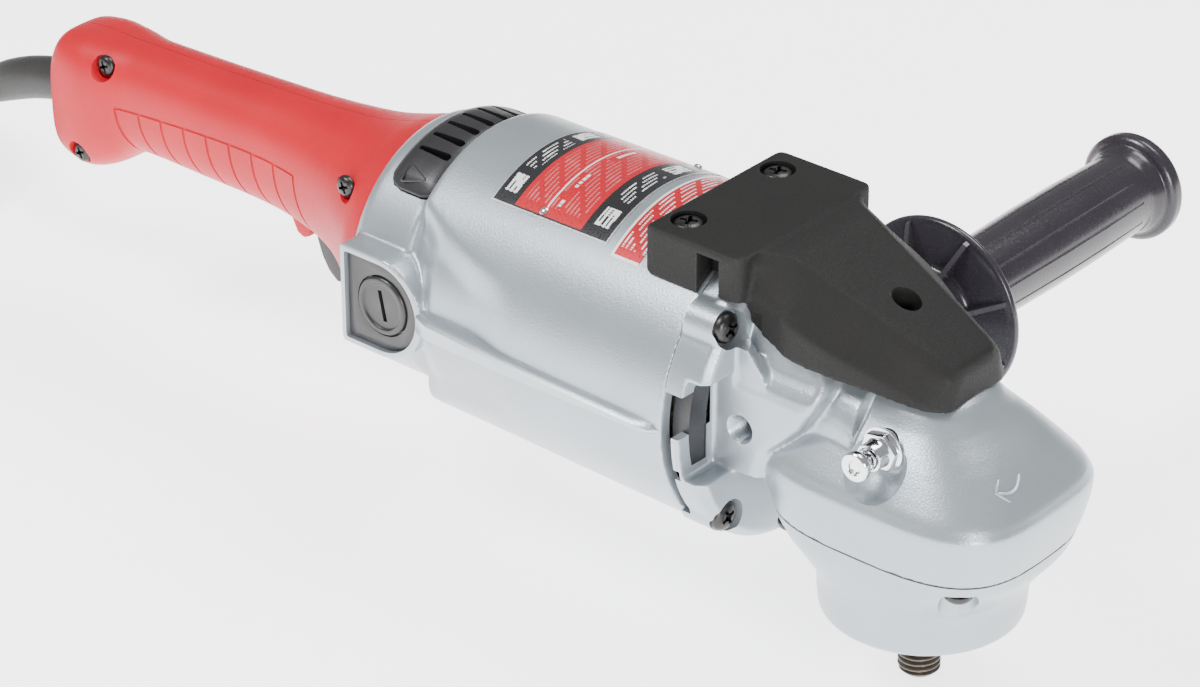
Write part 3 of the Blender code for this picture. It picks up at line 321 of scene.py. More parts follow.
def soften(obj, width, segments=3):
    edge = obj.modifiers.new("soften", "BEVEL")
    edge.width = width
    edge.segments = segments
    edge.limit_method = "ANGLE"
    edge.angle_limit = math.radians(35)
    return baked(obj)


def fused(name, parts, voxel=0.9, rounds=6):
    """One skin over overlapping solids, its creases filled and its edges eased as in a casting."""
    bm = bmesh.new()
    for part in parts:
        bm.from_mesh(part.data)
    drop(*parts)
    obj = new_object(name, bm)
    skin = obj.modifiers.new("skin", "REMESH")
    skin.mode = "VOXEL"
    skin.voxel_size = voxel
    ease = obj.modifiers.new("ease", "SMOOTH")
    ease.iterations = rounds
    ease.factor = 0.5
    return baked(obj)


def carve(obj, *cutters, operation="DIFFERENCE", solver="MANIFOLD"):
    for cutter in cutters:
        step = obj.modifiers.new("carve", "BOOLEAN")
        step.operation = operation
        step.solver = solver
        step.object = cutter
    baked(obj)
    drop(*cutters)
    return obj


def tube(name, points, radius, sides=10):
    """A closed round tube along points. Its radius may be one number or one for each point."""
    points = [Vector(p) for p in points]
    radii = radius if isinstance(radius, (list, tuple)) else [radius] * len(points)
    side = None
    rings = []
    for i, (point, r) in enumerate(zip(points, radii)):
        along = (points[min(i + 1, len(points) - 1)] - points[max(i - 1, 0)]).normalized()
        side = along.orthogonal() if side is None else side - along * side.dot(along)
        side = side.normalized()
        up = along.cross(side)
        ring = []
        for k in range(sides):
            angle = math.tau * k / sides
            ring.append(point + r * (math.cos(angle) * side + math.sin(angle) * up))
        rings.append(ring)
    return loft(name, rings)


def finished(obj, *nodes, slot=None, body="housing", crease=38, painted=False):
    """Scales a piece to metres, gives it its slot's material and rides it on its body for its nodes."""
    slot = slot or SLOTS[nodes[0]]
    obj.data.transform(TO_FRAME)
    if not painted:
        obj.data.materials.clear()
        obj.data.materials.append(MATERIALS[slot])
    obj.data.shade_smooth()
    obj.data.set_sharp_from_angle(angle=math.radians(crease))
    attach(obj, body)
    if nodes:
        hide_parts(*nodes)
    return obj


# ---- Materials ----


PATCH_SCALE = 35
FINISHES = {  # name, colour, roughness, metallic, grain, depth, tone and painted edge highlight
    "cast_housing": ("silver_casting", (0.36, 0.40, 0.43), 0.34, 0.62, 1500, 0.3, 0.04, 0.6),
    "red_plastic": ("red_nylon", (0.50, 0.001, 0.012), 0.45, 0.0, 1500, 0.35, 0.06, 0.2),
    "grille_plastic": ("grille_plastic", (0.016, 0.015, 0.017), 0.38, 0.0, 1500, 0.2, 0.15),
    "side_handle_plastic": ("side_handle_plastic", (0.022, 0.018, 0.024), 0.24, 0.0, 700, 0.08, 0.12, 0.4),
    "brush_cap_plastic": ("brush_cap_plastic", (0.018, 0.017, 0.018), 0.33, 0.0, 1200, 0.15, 0.12, 0.5),
    "bumper_rubber": ("bumper_rubber", (0.009, 0.0085, 0.008), 0.66, 0.0, 1100, 0.5, 0.12, 0.25),
    "cord_rubber": ("cord_rubber", (0.022, 0.021, 0.020), 0.5, 0.0, 900, 0.3, 0.15),
    "trigger_plastic": ("trigger_plastic", (0.018, 0.017, 0.017), 0.45, 0.0, 1500, 0.3, 0.1, 0.4),
    "plug_plastic": ("plug_plastic", (0.02, 0.02, 0.02), 0.42, 0.0, 1200, 0.3, 0.1, 0.4),
    "black_screws": ("black_oxide_steel", (0.03, 0.028, 0.027), 0.33, 0.85, 1500, 0.2, 0.2, 0.5),
    "gear_steel": ("dark_hardened_steel", (0.10, 0.082, 0.068), 0.36, 0.85, 1200, 0.3, 0.25, 0.6),
    "bright_steel": ("bright_plated_steel", (0.78, 0.79, 0.81), 0.14, 1.0, 1500, 0.08, 0.04),
    "copper": ("wound_copper", (0.72, 0.36, 0.20), 0.35, 1.0, 800, 0.5, 0.15),
    "brass": ("drawn_brass", (0.70, 0.52, 0.22), 0.3, 1.0, 1200, 0.2, 0.08),
    "carbon": ("pressed_carbon", (0.02, 0.02, 0.02), 0.6, 0.0, 2000, 0.5, 0.2),
    "motor_steel": ("steel_laminations", (0.22, 0.22, 0.23), 0.42, 0.9, 1600, 0.5, 0.1),
    "internal_plastic": ("natural_nylon", (0.62, 0.60, 0.54), 0.45, 0.0, 900, 0.2, 0.05),
    "label_red": ("label_red", (0.50, 0.008, 0.018), 0.30, 0.1, 1200, 0.05, 0.05),
    "label_pink": ("label_pink", (0.60, 0.16, 0.17), 0.30, 0.1, 1200, 0.05, 0.05),
    "label_black": ("label_black", (0.018, 0.018, 0.02), 0.30, 0.1, 1200, 0.05, 0.1),
    "label_white": ("label_white", (0.80, 0.80, 0.80), 0.32, 0.1, 1200, 0.05, 0.03),
    "label_silver": ("label_silver", (0.62, 0.64, 0.66), 0.3, 0.8, 1200, 0.05, 0.04),
}
SPECULAR_LEVELS = {"red_plastic": 0.3, "bumper_rubber": 0.25}


def surface(name, colour, roughness, metallic=0.0, grain=900, depth=0.1, tone=0.06, edge_highlight=0.0):
    """A Principled material with a fine bumpy grain, slow changes of tone and gloss, and a painted highlight
    that lightens its convex edges.
    """
    material = bpy.data.materials.new(name)
    material.use_nodes = True
    nodes, links = material.node_tree.nodes, material.node_tree.links
    shader = nodes["Principled BSDF"]
    shader.inputs["Metallic"].default_value = metallic
    place = nodes.new("ShaderNodeTexCoord")

    def noise(scale, detail):
        made = nodes.new("ShaderNodeTexNoise")
        made.inputs["Scale"].default_value = scale
        made.inputs["Detail"].default_value = detail
        links.new(place.outputs["Object"], made.inputs["Vector"])
        return made.outputs["Fac"]

    def mixed(factor, low, high):
        made = nodes.new("ShaderNodeMix")
        made.data_type = "RGBA"
        links.new(factor, made.inputs["Factor"])
        for socket, value in zip(("A", "B"), (low, high)):
            inputs = [i for i in made.inputs if i.name == socket and i.type == "RGBA"]
            if isinstance(value, bpy.types.NodeSocket):
                links.new(value, inputs[0])
            else:
                inputs[0].default_value = (*value, 1)
        return [o for o in made.outputs if o.type == "RGBA"][0]

    def ranged(value, low, high, to_low, to_high):
        made = nodes.new("ShaderNodeMapRange")
        numbers = {"From Min": low, "From Max": high, "To Min": to_low, "To Max": to_high}
        for socket, number in numbers.items():
            made.inputs[socket].default_value = number
        links.new(value, made.inputs["Value"])
        return made.outputs["Result"]

    slow, fine = noise(PATCH_SCALE, 3), noise(grain, 2)
    dark = [c * (1 - tone) for c in colour]
    light = [min(1, c * (1 + tone)) for c in colour]
    tinted = mixed(ranged(slow, 0.3, 0.7, 0, 1), dark, light)
    # Painted highlight: convex edges, found by pointiness, are lightened in the colour to stand in for light
    # catching them
    if edge_highlight:
        shape = nodes.new("ShaderNodeNewGeometry")
        edge = ranged(shape.outputs["Pointiness"], 0.51, 0.58, 0, edge_highlight)
        tinted = mixed(edge, tinted, [min(1, c * 1.25 + 0.05) for c in colour])
    links.new(tinted, shader.inputs["Base Color"])
    links.new(ranged(fine, 0.3, 0.7, roughness - 0.05, roughness + 0.06), shader.inputs["Roughness"])
    bump = nodes.new("ShaderNodeBump")
    bump.inputs["Strength"].default_value = depth
    bump.inputs["Distance"].default_value = 0.0003
    links.new(fine, bump.inputs["Height"])
    links.new(bump.outputs["Normal"], shader.inputs["Normal"])
    return material


def make_materials():
    for key, values in FINISHES.items():
        MATERIALS[key] = surface(*values)
    for key, level in SPECULAR_LEVELS.items():
        MATERIALS[key].node_tree.nodes["Principled BSDF"].inputs["Specular IOR Level"].default_value = level


# ---- Cord ----

CORD_R = 4.5
# The same route points as the solids', in metres
CORD_ROUTE = (
    (-0.4956, 0.0000, 0.0604),
    (-0.5080, 0.0010, 0.0533),
    (-0.5215, 0.0068, 0.0459),
    (-0.5360, 0.0195, 0.0378),
    (-0.5500, 0.0340, 0.0304),
    (-0.5665, 0.0470, 0.0252),
    (-0.5870, 0.0535, 0.0230),
)
TAIL_ROUTE = (
    (-0.6320, 0.0010, 0.0229),
    (-0.6295, -0.0144, 0.0242),
    (-0.6220, -0.0285, 0.0280),
    (-0.6100, -0.0389, 0.0318),
    (-0.5955, -0.0440, 0.0331),
)
LAYER_TURNS = 3.5  # in the outer layer, which goes down, and in the inner one, which comes up


def coil_point(turn, radius, z):
    """A point of the coil. Turn 0 is on its left side, where the cord comes in heading backwards."""
    angle = math.pi / 2 + math.tau * turn
    return (COIL.x + radius * math.cos(angle), COIL.y + radius * math.sin(angle), z)


def coil_points():
    """Down the outer layer, across underneath and up the inner one, each turn a cord's thickness apart."""
    pitch = 2 * CORD_R
    outer, inner = COIL_IN_R + 3 * CORD_R, COIL_IN_R + CORD_R
    bottom = FLOOR_Z + CORD_R
    start_z, end_z = CORD_ROUTE[-1][2] / MM, TAIL_ROUTE[0][2] / MM
    points = []
    steps = 24
    for i in range(1, int(LAYER_TURNS * steps) + 1):
        turn = i / steps
        z = bottom + pitch * (LAYER_TURNS - turn)
        lead = 1 - ramp(turn, 0, 0.5)
        z += lead * (start_z - bottom - pitch * LAYER_TURNS)
        points.append(coil_point(turn, outer - lead * (outer - 52.5), z))
    for i in range(1, 6):
        points.append(coil_point(LAYER_TURNS + i / steps, outer + (inner - outer) * ramp(i, 0, 6), bottom))
    for i in range(int(LAYER_TURNS * steps)):
        turn = i / steps
        z = bottom + pitch * turn
        z += ramp(turn, LAYER_TURNS - 0.35, LAYER_TURNS) * (end_z - bottom - pitch * LAYER_TURNS)
        points.append(coil_point(LAYER_TURNS + 0.25 + turn, inner, z))
    return points


def cord(plug):
    route = [Vector(p) / MM for p in CORD_ROUTE]
    lead_in = [Vector(p) for p in curve_through(route, 4)]
    tail = [Vector(p) for p in curve_through([Vector(p) / MM for p in TAIL_ROUTE], 3)]
    points = [*lead_in, *(Vector(p) for p in coil_points()), *tail]
    data = bpy.data.curves.new("power_cord", "CURVE")
    data.dimensions = "3D"
    data.bevel_depth = CORD_R * MM
    data.bevel_resolution = 4
    data.use_fill_caps = True
    data.resolution_u = 6
    line = data.splines.new("NURBS")
    line.points.add(len(points) - 1)
    for slot, point in zip(line.points, points):
        slot.co = (*(TO_FRAME @ point), 1.0)
    line.order_u = 4
    line.use_endpoint_u = True
    data.materials.append(MATERIALS["cord_rubber"])
    obj = bpy.data.objects.new("power_cord", data)
    bpy.context.scene.collection.objects.link(obj)
    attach(obj, "housing")
    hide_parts("cord", "cord_coil", "cord_tail")


BLADE_SPREAD = 6.35
PLUG_PROFILE = (
    (0, 0), (6.4, 0), (6.8, 5), (8.6, 8), (11.5, 11), (12.2, 15), (11.6, 19), (13.4, 23), (15, 25),
    (15, 33), (14.2, 34), (0, 34),
)


def plug_piece():
    """A moulded three-pin plug, its round face forward and its grip waisted where fingers hold it."""
    body = lathe("plug_body", rounded(PLUG_PROFILE, 1.6), steps=64)
    for i in range(4):
        inner, base = 6.0 + i * 0.2, i * 1.7
        outline = [(inner, 1.4 + base), (9.5, 1.2 + base), (9.5, 2.1 + base), (inner, 2.0 + base)]
        carve(body, lathe(f"plug_groove_{i}", outline))
    blades = []
    for side in (-1, 1):
        y = side * BLADE_SPREAD
        blade = block(f"blade_{side}", (-0.7, y - 0.75, 33), (5.7, y + 0.75, 51))
        blades.append(soften(blade, 0.35))
    pin = rounded([(0, 33), (2.3, 33), (2.3, 54), (0, 54)], 1.6)
    blades.append(lathe("ground_pin", pin, (-8, 0, 0), steps=24))
    low = low_of("plug")
    face = Matrix.Rotation(math.radians(-10), 4, "Z") @ TURNS["X"]
    place = Matrix.Translation((low.x + 1.1, -44.1, low.z + 15)) @ face
    body.data.transform(place)
    finished(body, "plug")
    for blade in blades:
        blade.data.transform(place)
        finished(blade, slot="brass")
    return body


# ---- Fasteners ----


def pan_screw(node):
    """A pan-head screw in place of a packed one, its head towards the side that its box's wide end faces."""
    low, high = low_of(node), high_of(node)
    size = high - low
    long_way = max(range(3), key=lambda k: size[k])
    head_r = min(size) / 2
    axis = {"case": "X", "bumper": "Z", "handle": "-Y", "retainer": "-Z"}[node.split("_")[0]]
    at = (low + high) / 2
    at[long_way] = (low if axis.startswith("-") else high)[long_way]
    length = size[long_way]
    head = head_r * 0.62
    profile = [(0, -length), (head_r * 0.38, -length), (head_r * 0.38, -head), (head_r * 0.97, -head)]
    profile += [(head_r, -head * 0.8), (head_r * 0.96, -head * 0.42), (head_r * 0.78, -head * 0.14)]
    profile += [(head_r * 0.5, 0), (0, 0)]
    screw = lathe(node.replace("_screw", "_fastener"), profile, steps=48)
    reach, half = head_r * 0.55, head_r * 0.115
    for turn in (0.4, 0.4 + math.pi / 2):
        wing = block("wing", (-reach, -half, -head * 0.75), (reach, half, 1))
        carve(screw, put(wing, turn=turn))
    cone = [(0, -head * 0.85), (head_r * 0.26, -head * 0.3), (head_r * 0.3, 1), (0, 1)]
    carve(screw, lathe("cone", cone, steps=12))
    put(screw, at, axis)
    return finished(screw, node)


# ---- Motor housing ----

RIDGE = ((-204, -187.5, -171, -155), (47, 40.5, 34, 32))  # x, and the ridge's angle over the side


def body_radius(x, side_angle):
    """The housing's radius, scooped at the rear beside each brush boss, under a ridge that fades away."""
    base = BAND_R + (HOUSING_R - 1.3 - BAND_R) * ramp(x, BODY_REAR_X - 3.5, BODY_REAR_X + 1.5)
    base += 1.3 * ramp(x, BODY_REAR_X, JOINT_X)
    base -= 3.0 * (1 - ramp(x, HOUSING_REAR_X - 3, HOUSING_REAR_X + 4))
    if x <= BODY_REAR_X - 3.5:
        return base
    depth = 3.3 * (1 - ramp(x, -175, -146)) + 5.2 * (1 - ramp(x, -204, -188))
    return max(base - depth * ramp(float(np.interp(x, *RIDGE)) - side_angle, 0, 15), BAND_R - 2)


def housing_casting():
    rings = []
    stations = [HOUSING_REAR_X + (JOINT_X - GAP - HOUSING_REAR_X) * i / 90 for i in range(91)]
    for x in stations:
        ring = []
        for k in range(180):
            angle = math.tau * k / 180
            c, s = math.cos(angle), math.sin(angle)
            from_side = math.degrees(math.atan2(abs(s), abs(c)))
            r = body_radius(x, from_side)
            ring.append((x, r * c, MOTOR_Z + r * s))
        rings.append(ring)
    parts = [loft("body", rings)]
    for side in (-1, 1):
        parts.append(brush_boss(side, 2.8, BRUSH_FACE_Y + 1.6, 38))
    shell = fused("motor_shell", parts, 0.9, 7)
    for side in (-1, 1):
        carve(shell, side_rib(side), operation="UNION")
    trim = block("front_trim", (JOINT_X - GAP, -90, -10), (JOINT_X + 30, 90, 170))
    inside = [
        (0, JOINT_X + 5), (HOUSING_BORE_R, JOINT_X + 5), (HOUSING_BORE_R, -187), (BAND_BORE_R, -195),
        (BAND_BORE_R, HOUSING_REAR_X + 6), (13.3, HOUSING_REAR_X + 6), (13.3, HOUSING_REAR_X - 5),
        (0, HOUSING_REAR_X - 5),
    ]
    carve(shell, trim, lathe("inside", inside, (0, 0, MOTOR_Z), "X"))
    for side in (-1, 1):
        out = out_from(side)
        carve(shell, brush_boss(side, 0.25, 75, BRUSH_FACE_Y - 3.2))
        carve(shell, rod("brush_bore", 8.6, 30, 60, (BRUSH.x, 0, MOTOR_Z), out))
    window = sector("window", 40, 66, GRILLE_LOW.x - 0.4, GRILLE_HIGH.x + 0.4, grille_half_deg() + 0.5, 6.4)
    carve(shell, window)
    return finished(shell, "motor_housing")


RIB_STATIONS = (  # x, outer face, half height
    (-199, 52, 2.0), (-197, 55, 3.6), (-193, 59.0, 4.2), (-186, 61.2, 3.8), (-150, 62.9, 2.9),
    (-86, 63.4, 1.9), (-78, 62.2, 1.5), (-75, 60.2, 1.0),
)


def side_rib(side):
    """The rib along the side: wide and round where it leaves the brush boss, and finer towards the front."""
    rows = []
    for x, out, half in RIB_STATIONS:
        outline = [(48, -half - 3.5), (out - 2.2, -half - 0.6), (out - 0.5, -half + 0.5), (out, -half + 1.0)]
        outline += [(y, -z) for y, z in reversed(outline)]
        rows.append([(x, side * y, MOTOR_Z + z) for y, z in outline])
    return loft("rib", rows)


def brush_boss(side, grow, outer, inner):
    """A D-shaped block along Y: flat towards the rear and round towards the front."""
    half = BRUSH_PLATE_R + grow
    outline = [(BRUSH.x - 17.2 - grow, -half), (BRUSH.x, -half)]
    for i in range(1, 24):
        angle = -math.pi / 2 + math.pi * i / 24
        outline.append((BRUSH.x + half * math.cos(angle), half * math.sin(angle)))
    outline += [(BRUSH.x, half), (BRUSH.x - 17.2 - grow, half)]
    outline = rounded(outline, 1.5 + grow * 0.3, closed=True)
    low, high = span(side, inner, outer)
    return prism("brush_boss", [(x, MOTOR_Z + z) for x, z in outline], low, high, "XZ")


def round_motor(degrees):
    """A turn about the motor's axis of something drawn over the origin."""
    return Matrix.Translation((0, 0, MOTOR_Z)) @ Matrix.Rotation(math.radians(degrees), 4, "X")


def grille_half_deg():
    return math.degrees(math.asin(GRILLE_HIGH.y / (GRILLE_HIGH.z - MOTOR_Z)))


def sector(name, inner, outer, rear, front, half_deg, corner, crown=0.0, steps=60):
    """A curved plate about the motor's axis, centred on its top, with rounded corners."""
    rows = []
    across = 10
    for i in range(steps + 1):
        degrees = -half_deg + 2 * half_deg * i / steps
        s, c = math.sin(math.radians(degrees)), math.cos(math.radians(degrees))
        to_end = math.radians(half_deg - abs(degrees)) * outer
        cut = corner - math.sqrt(max(0.0, corner**2 - max(0.0, corner - to_end) ** 2))
        row = []
        low_x, high_x = rear + cut, front - cut
        for k in range(across + 1):
            share = k / across
            r = outer + crown * (1 - (2 * share - 1) ** 4) * min(1, to_end / 6)
            row.append((low_x + (high_x - low_x) * share, r * s, MOTOR_Z + r * c))
        row += [(high_x, inner * s, MOTOR_Z + inner * c), (low_x, inner * s, MOTOR_Z + inner * c)]
        rows.append(row)
    return loft(name, rows)


def vent_louvres():
    half = grille_half_deg()
    plate = sector("vent_louvres", 48.5, BAND_R + 2.0, GRILLE_LOW.x, GRILLE_HIGH.x, half, 6, 1.8)
    soften(plate, 0.8, 2)
    slots = 8
    for i in range(slots):
        degrees = -24 + 60 * i / (slots - 1)
        long_low, long_high = GRILLE_LOW.x + 4.2, GRILLE_HIGH.x - 3.2
        outline = [(long_low, -0.9), (long_high, -1.8), (long_high, 1.8), (long_low, 0.9)]
        slot = prism("slot", rounded(outline, 2.2, closed=True), 40, 70, "XY")
        slot.data.transform(round_motor(-degrees))
        carve(plate, slot)
    finished(plate, "vent_grille")
    corners = [(GRILLE_LOW.x + 6.5, -4.0), (GRILLE_HIGH.x - 5.5, 0), (GRILLE_LOW.x + 6.5, 4.0)]
    path = [(x, y, 0) for x, y in rounded(corners, 1.5, closed=True)]
    mark = tube("mark", [*path, path[0]], 0.45, 6)
    mark.data.transform(round_motor(36.5) @ Matrix.Translation((0, 0, BAND_R + 3.6)))
    mark.name = "grille_mark"
    finished(mark, slot="grille_plastic")
    low_x, high_x = GRILLE_LOW.x - 1, GRILLE_HIGH.x + 1
    inner, outer = BAND_BORE_R - 0.1, BAND_BORE_R + 1.8
    floor = [(inner, low_x), (outer, low_x), (outer, high_x), (inner, high_x)]
    well = lathe("vent_floor", floor, (0, 0, MOTOR_Z), "X")
    finished(well, slot="grille_plastic")


def brush_covers():
    for side, tag in ((-1, "right"), (1, "left")):
        out = out_from(side)
        at = (BRUSH.x, 0, MOTOR_Z)
        plate = brush_boss(side, -0.1, BRUSH_FACE_Y - 0.4, BRUSH_FACE_Y - 2.9)
        plate.name = f"brush_surround_{tag}"
        carve(plate, rod("bore", BRUSH_CAP_R + 0.5, 40, 70, at, out))
        soften(plate, 0.4, 2)
        finished(plate, f"brush_plate_{tag}")
        face = BRUSH_FACE_Y + 0.6
        r = BRUSH_CAP_R
        profile = [
            (0, 50), (7.2, 50), (7.2, face - 3.4), (r, face - 3.4), (r, face - 0.7), (r - 0.7, face),
            (r - 2.2, face), (r - 2.8, face - 0.7), (r - 3.6, face - 0.9), (0, face - 0.9),
        ]
        cap = lathe(f"brush_screw_cap_{tag}", rounded(profile, 0.4, 3), at, out)
        slot = block("slot", (-6.4, -0.95, face - 2.6), (6.4, 0.95, face + 2))
        carve(cap, put(slot, at, out, math.radians(78) * side))
        finished(cap, f"brush_cap_{tag}")


# ---- Labels ----


def skin_radius(x):
    """The housing's radius under the labels."""
    return HOUSING_R - 1.3 + 1.3 * ramp(x, BODY_REAR_X, JOINT_X)


INKS = ("label_silver", "label_red", "label_black", "label_white", "label_pink")
CELL = 0.36  # the width of a painted cell


def wrapped_label(name, node, paint):
    """A thin plate wrapped on the housing. paint(u, v, width, height) names the ink of each small cell."""
    low, high = low_of(node), high_of(node)
    half = math.asin(min(1, high.y / (HOUSING_R + 0.6)))
    width, height = high.x - low.x, 2 * half * HOUSING_R
    cells_x, cells_y = round(width / CELL), round(height / CELL)
    bm = bmesh.new()
    grid = []
    for j in range(cells_y + 1):
        angle = -half + 2 * half * j / cells_y
        row = []
        for i in range(cells_x + 1):
            x = low.x + width * i / cells_x
            r = skin_radius(x) + 0.35
            row.append(bm.verts.new((x, r * math.sin(angle), MOTOR_Z + r * math.cos(angle))))
        grid.append(row)
    for j in range(cells_y):
        for i in range(cells_x):
            face = bm.faces.new((grid[j][i], grid[j][i + 1], grid[j + 1][i + 1], grid[j + 1][i]))
            u, v = (i + 0.5) * width / cells_x, (j + 0.5) * height / cells_y
            face.material_index = INKS.index(paint(u, v, width, height))
    mesh = bpy.data.meshes.new(name)
    bm.to_mesh(mesh)
    bm.free()
    plate = bpy.data.objects.new(name, mesh)
    bpy.context.scene.collection.objects.link(plate)
    for ink in INKS:
        plate.data.materials.append(MATERIALS[ink])
    thick = plate.modifiers.new("thick", "SOLIDIFY")
    thick.thickness = 0.35
    thick.offset = -1
    baked(plate)
    return finished(plate, node, painted=True)


def dashes(along, across, pitch, seed):
    """Short bars in rows, in place of print: true where a point falls on one."""
    row = int(across / pitch)
    if across - row * pitch > pitch * 0.42:
        return False
    word = int(along / 1.1) + 13 * row + seed
    return (word * word * 31 + word * 17) % 11 < 7 and along % 1.1 < 0.8


def banded(u, v, width, height, seed):
    """A black band with pale boxes in it, as (u, v) in a strip that is width across and height long."""
    if not 0.24 * width < u < 0.76 * width:
        return "label_black"
    slot = v / height
    if 0.08 < slot < 0.20 or 0.62 < slot < 0.76:
        return "label_black" if dashes(v, u, 2.0, seed) else "label_white"
    if 0.26 < slot < 0.56 or 0.80 < slot < 0.93:
        return "label_white" if dashes(v, u - 0.24 * width, 1.8, seed + 2) else "label_black"
    return "label_black"


def paint_nameplate(u, v, width, height):
    """Red, with a black band across each end that holds pale boxes, and a silver and black border."""
    edge = min(u, v, width - u, height - v)
    if edge < 0.8:
        return "label_silver"
    if edge < 1.5:
        return "label_black"
    rear_band, front_band = 0.19 * width, 0.24 * width
    if u < rear_band:
        return banded(u, v, rear_band, height, 3)
    if u > width - front_band:
        return banded(u - width + front_band, v, front_band, height, 9)
    middle = (u - rear_band) / (width - rear_band - front_band)
    if abs(middle - 0.42) < 0.012 and 0.06 * height < v < 0.94 * height:
        return "label_white"
    heading = 0.50 < middle < 0.62 and (0.10 < v / height < 0.36 or 0.52 < v / height < 0.72)
    if heading:
        return "label_white" if dashes(v * 0.5, u, 3.4, 7) else "label_red"
    if 0.07 < middle < 0.93 and 0.08 * height < v < 0.90 * height and dashes(v, u, 1.8, 1):
        return "label_pink"
    return "label_red"


def paint_warning(u, v, _width, height):
    """Red with rows of white dashes and a white border, whose front edge is under the bumper."""
    edge = min(u, v, height - v)
    if edge < 1.0:
        return "label_white"
    if 0.06 * height < v < 0.94 * height and u > 2.0 and dashes(v, u, 2.0, 4):
        return "label_white"
    return "label_red"


def drive_pins():
    """The two small domed pins that hold the nameplate."""
    low, high = low_of("nameplate"), high_of("nameplate")
    for name, x, degrees in (("right", low.x + 24, -32), ("left", high.x - 10, 30)):
        dome = [(0, -1), (1.7, -1), (1.7, 0.5), (1.3, 0.9), (0.6, 1.15), (0, 1.2)]
        pin = lathe(f"nameplate_pin_{name}", dome, steps=24)
        pin.data.transform(round_motor(-degrees) @ Matrix.Translation((x, 0, skin_radius(x) + 0.4)))
        finished(pin, slot="bright_steel")


# ---- Gear head ----

HEAD_SECTIONS = (  # height, half length, half width, roundness
    (HEAD_SEAM_Z + GAP, 51.9, 42.6, 3.1),
    (54.0, 52.9, 43.4, 3.2),
    (60.0, 54.3, 44.2, 3.3),
    (66.0, 55.2, 44.8, 3.4),
    (70.5, 55.2, 44.6, 3.5),
    (72.8, 54.2, 43.6, 3.5),
    (77.0, 51.6, 41.4, 3.4),
    (88.0, 40.5, 33.0, 3.0),
    (97.0, 29.0, 25.0, 2.7),
    (104.0, 22.0, 20.0, 2.4),
    (HEAD_TOP_Z, 11.0, 11.0, 2.2),
)


def head_solid(grow=0.0):
    rings = []
    for z, half_x, half_y, power in curve_through(HEAD_SECTIONS, 3):
        outline = superellipse(half_x + grow, half_y + grow, power, 160)
        rings.append([(x, y, z + (grow if z > 70 else -grow)) for x, y in outline])
    return loft("head", rings)


NECK_SECTIONS = (  # height, front x, half width
    (MOTOR_Z - 18.2, -45.0, 40.0),
    (76.0, -41.0, 40.0),
    (82.5, -34.0, 40.0),
    (89.0, -28.0, 40.0),
    (97.0, -23.3, 40.0),
    (101.0, -21.8, 38.9),
    (104.0, -21.2, 36.9),
    (107.0, -21.5, 34.5),
    (114.0, -26.0, 31.5),
    (120.0, -34.0, 29.0),
    (130.0, -48.0, 24.5),
    (137.5, -69.0, 20.5),
)


def neck_solid(grow=0.0):
    """The block between the flange and the head that carries the side-handle bosses."""
    rings = []
    for z, front, half in NECK_SECTIONS:
        x, y = front + grow, half + grow
        outline = rounded([(-70, -y), (x, -y), (x, y), (-70, y)], 5.0, 5)
        level = z + (grow if z > 70 else -grow)
        rings.append([(px, py, level) for px, py in outline])
    return loft("neck", rings)


def flange_solid(grow=0.0):
    front = FLANGE_FRONT_X + grow
    rim = HOUSING_R + grow
    profile = [(0, JOINT_X - 4), (rim, JOINT_X - 4), (rim, front - 3.5), (rim - 3, front), (0, front)]
    return lathe("flange", profile, (0, 0, MOTOR_Z), "X", 128)


def throat_solid(grow=0.0):
    sections = []
    for x, half, height in ((-66, 33, 34.3), (-50, 31, 34.3), (-34, 31, 33), (-10, 34, 28)):
        outline = superellipse(half + grow, height + grow, 2.6, 64)
        sections.append([(x, y, MOTOR_Z + z) for y, z in outline])
    throat = loft("throat", sections)
    carve(throat, block("below_seam", (-52.2, -60, 30), (0, 60, HEAD_SEAM_Z + GAP)))
    return throat


def case_screw_places():
    places = []
    for tag in ("right_upper", "right_lower", "left_upper", "left_lower"):
        centre = middle_of(f"case_screw_{tag}")
        places.append((centre.y, centre.z))
    return places


def gusset(side):
    """A thin web from the flange's top to the neck's shoulder, with a pointed foot."""
    outline = [(-66, 92), (-66, 129.5), (-61.5, 129.5), (-53, 115), (-45, 106), (-40, 92)]
    low, high = span(side, 34.6, 39.2)
    return prism("gusset", outline, low, high, "XZ")


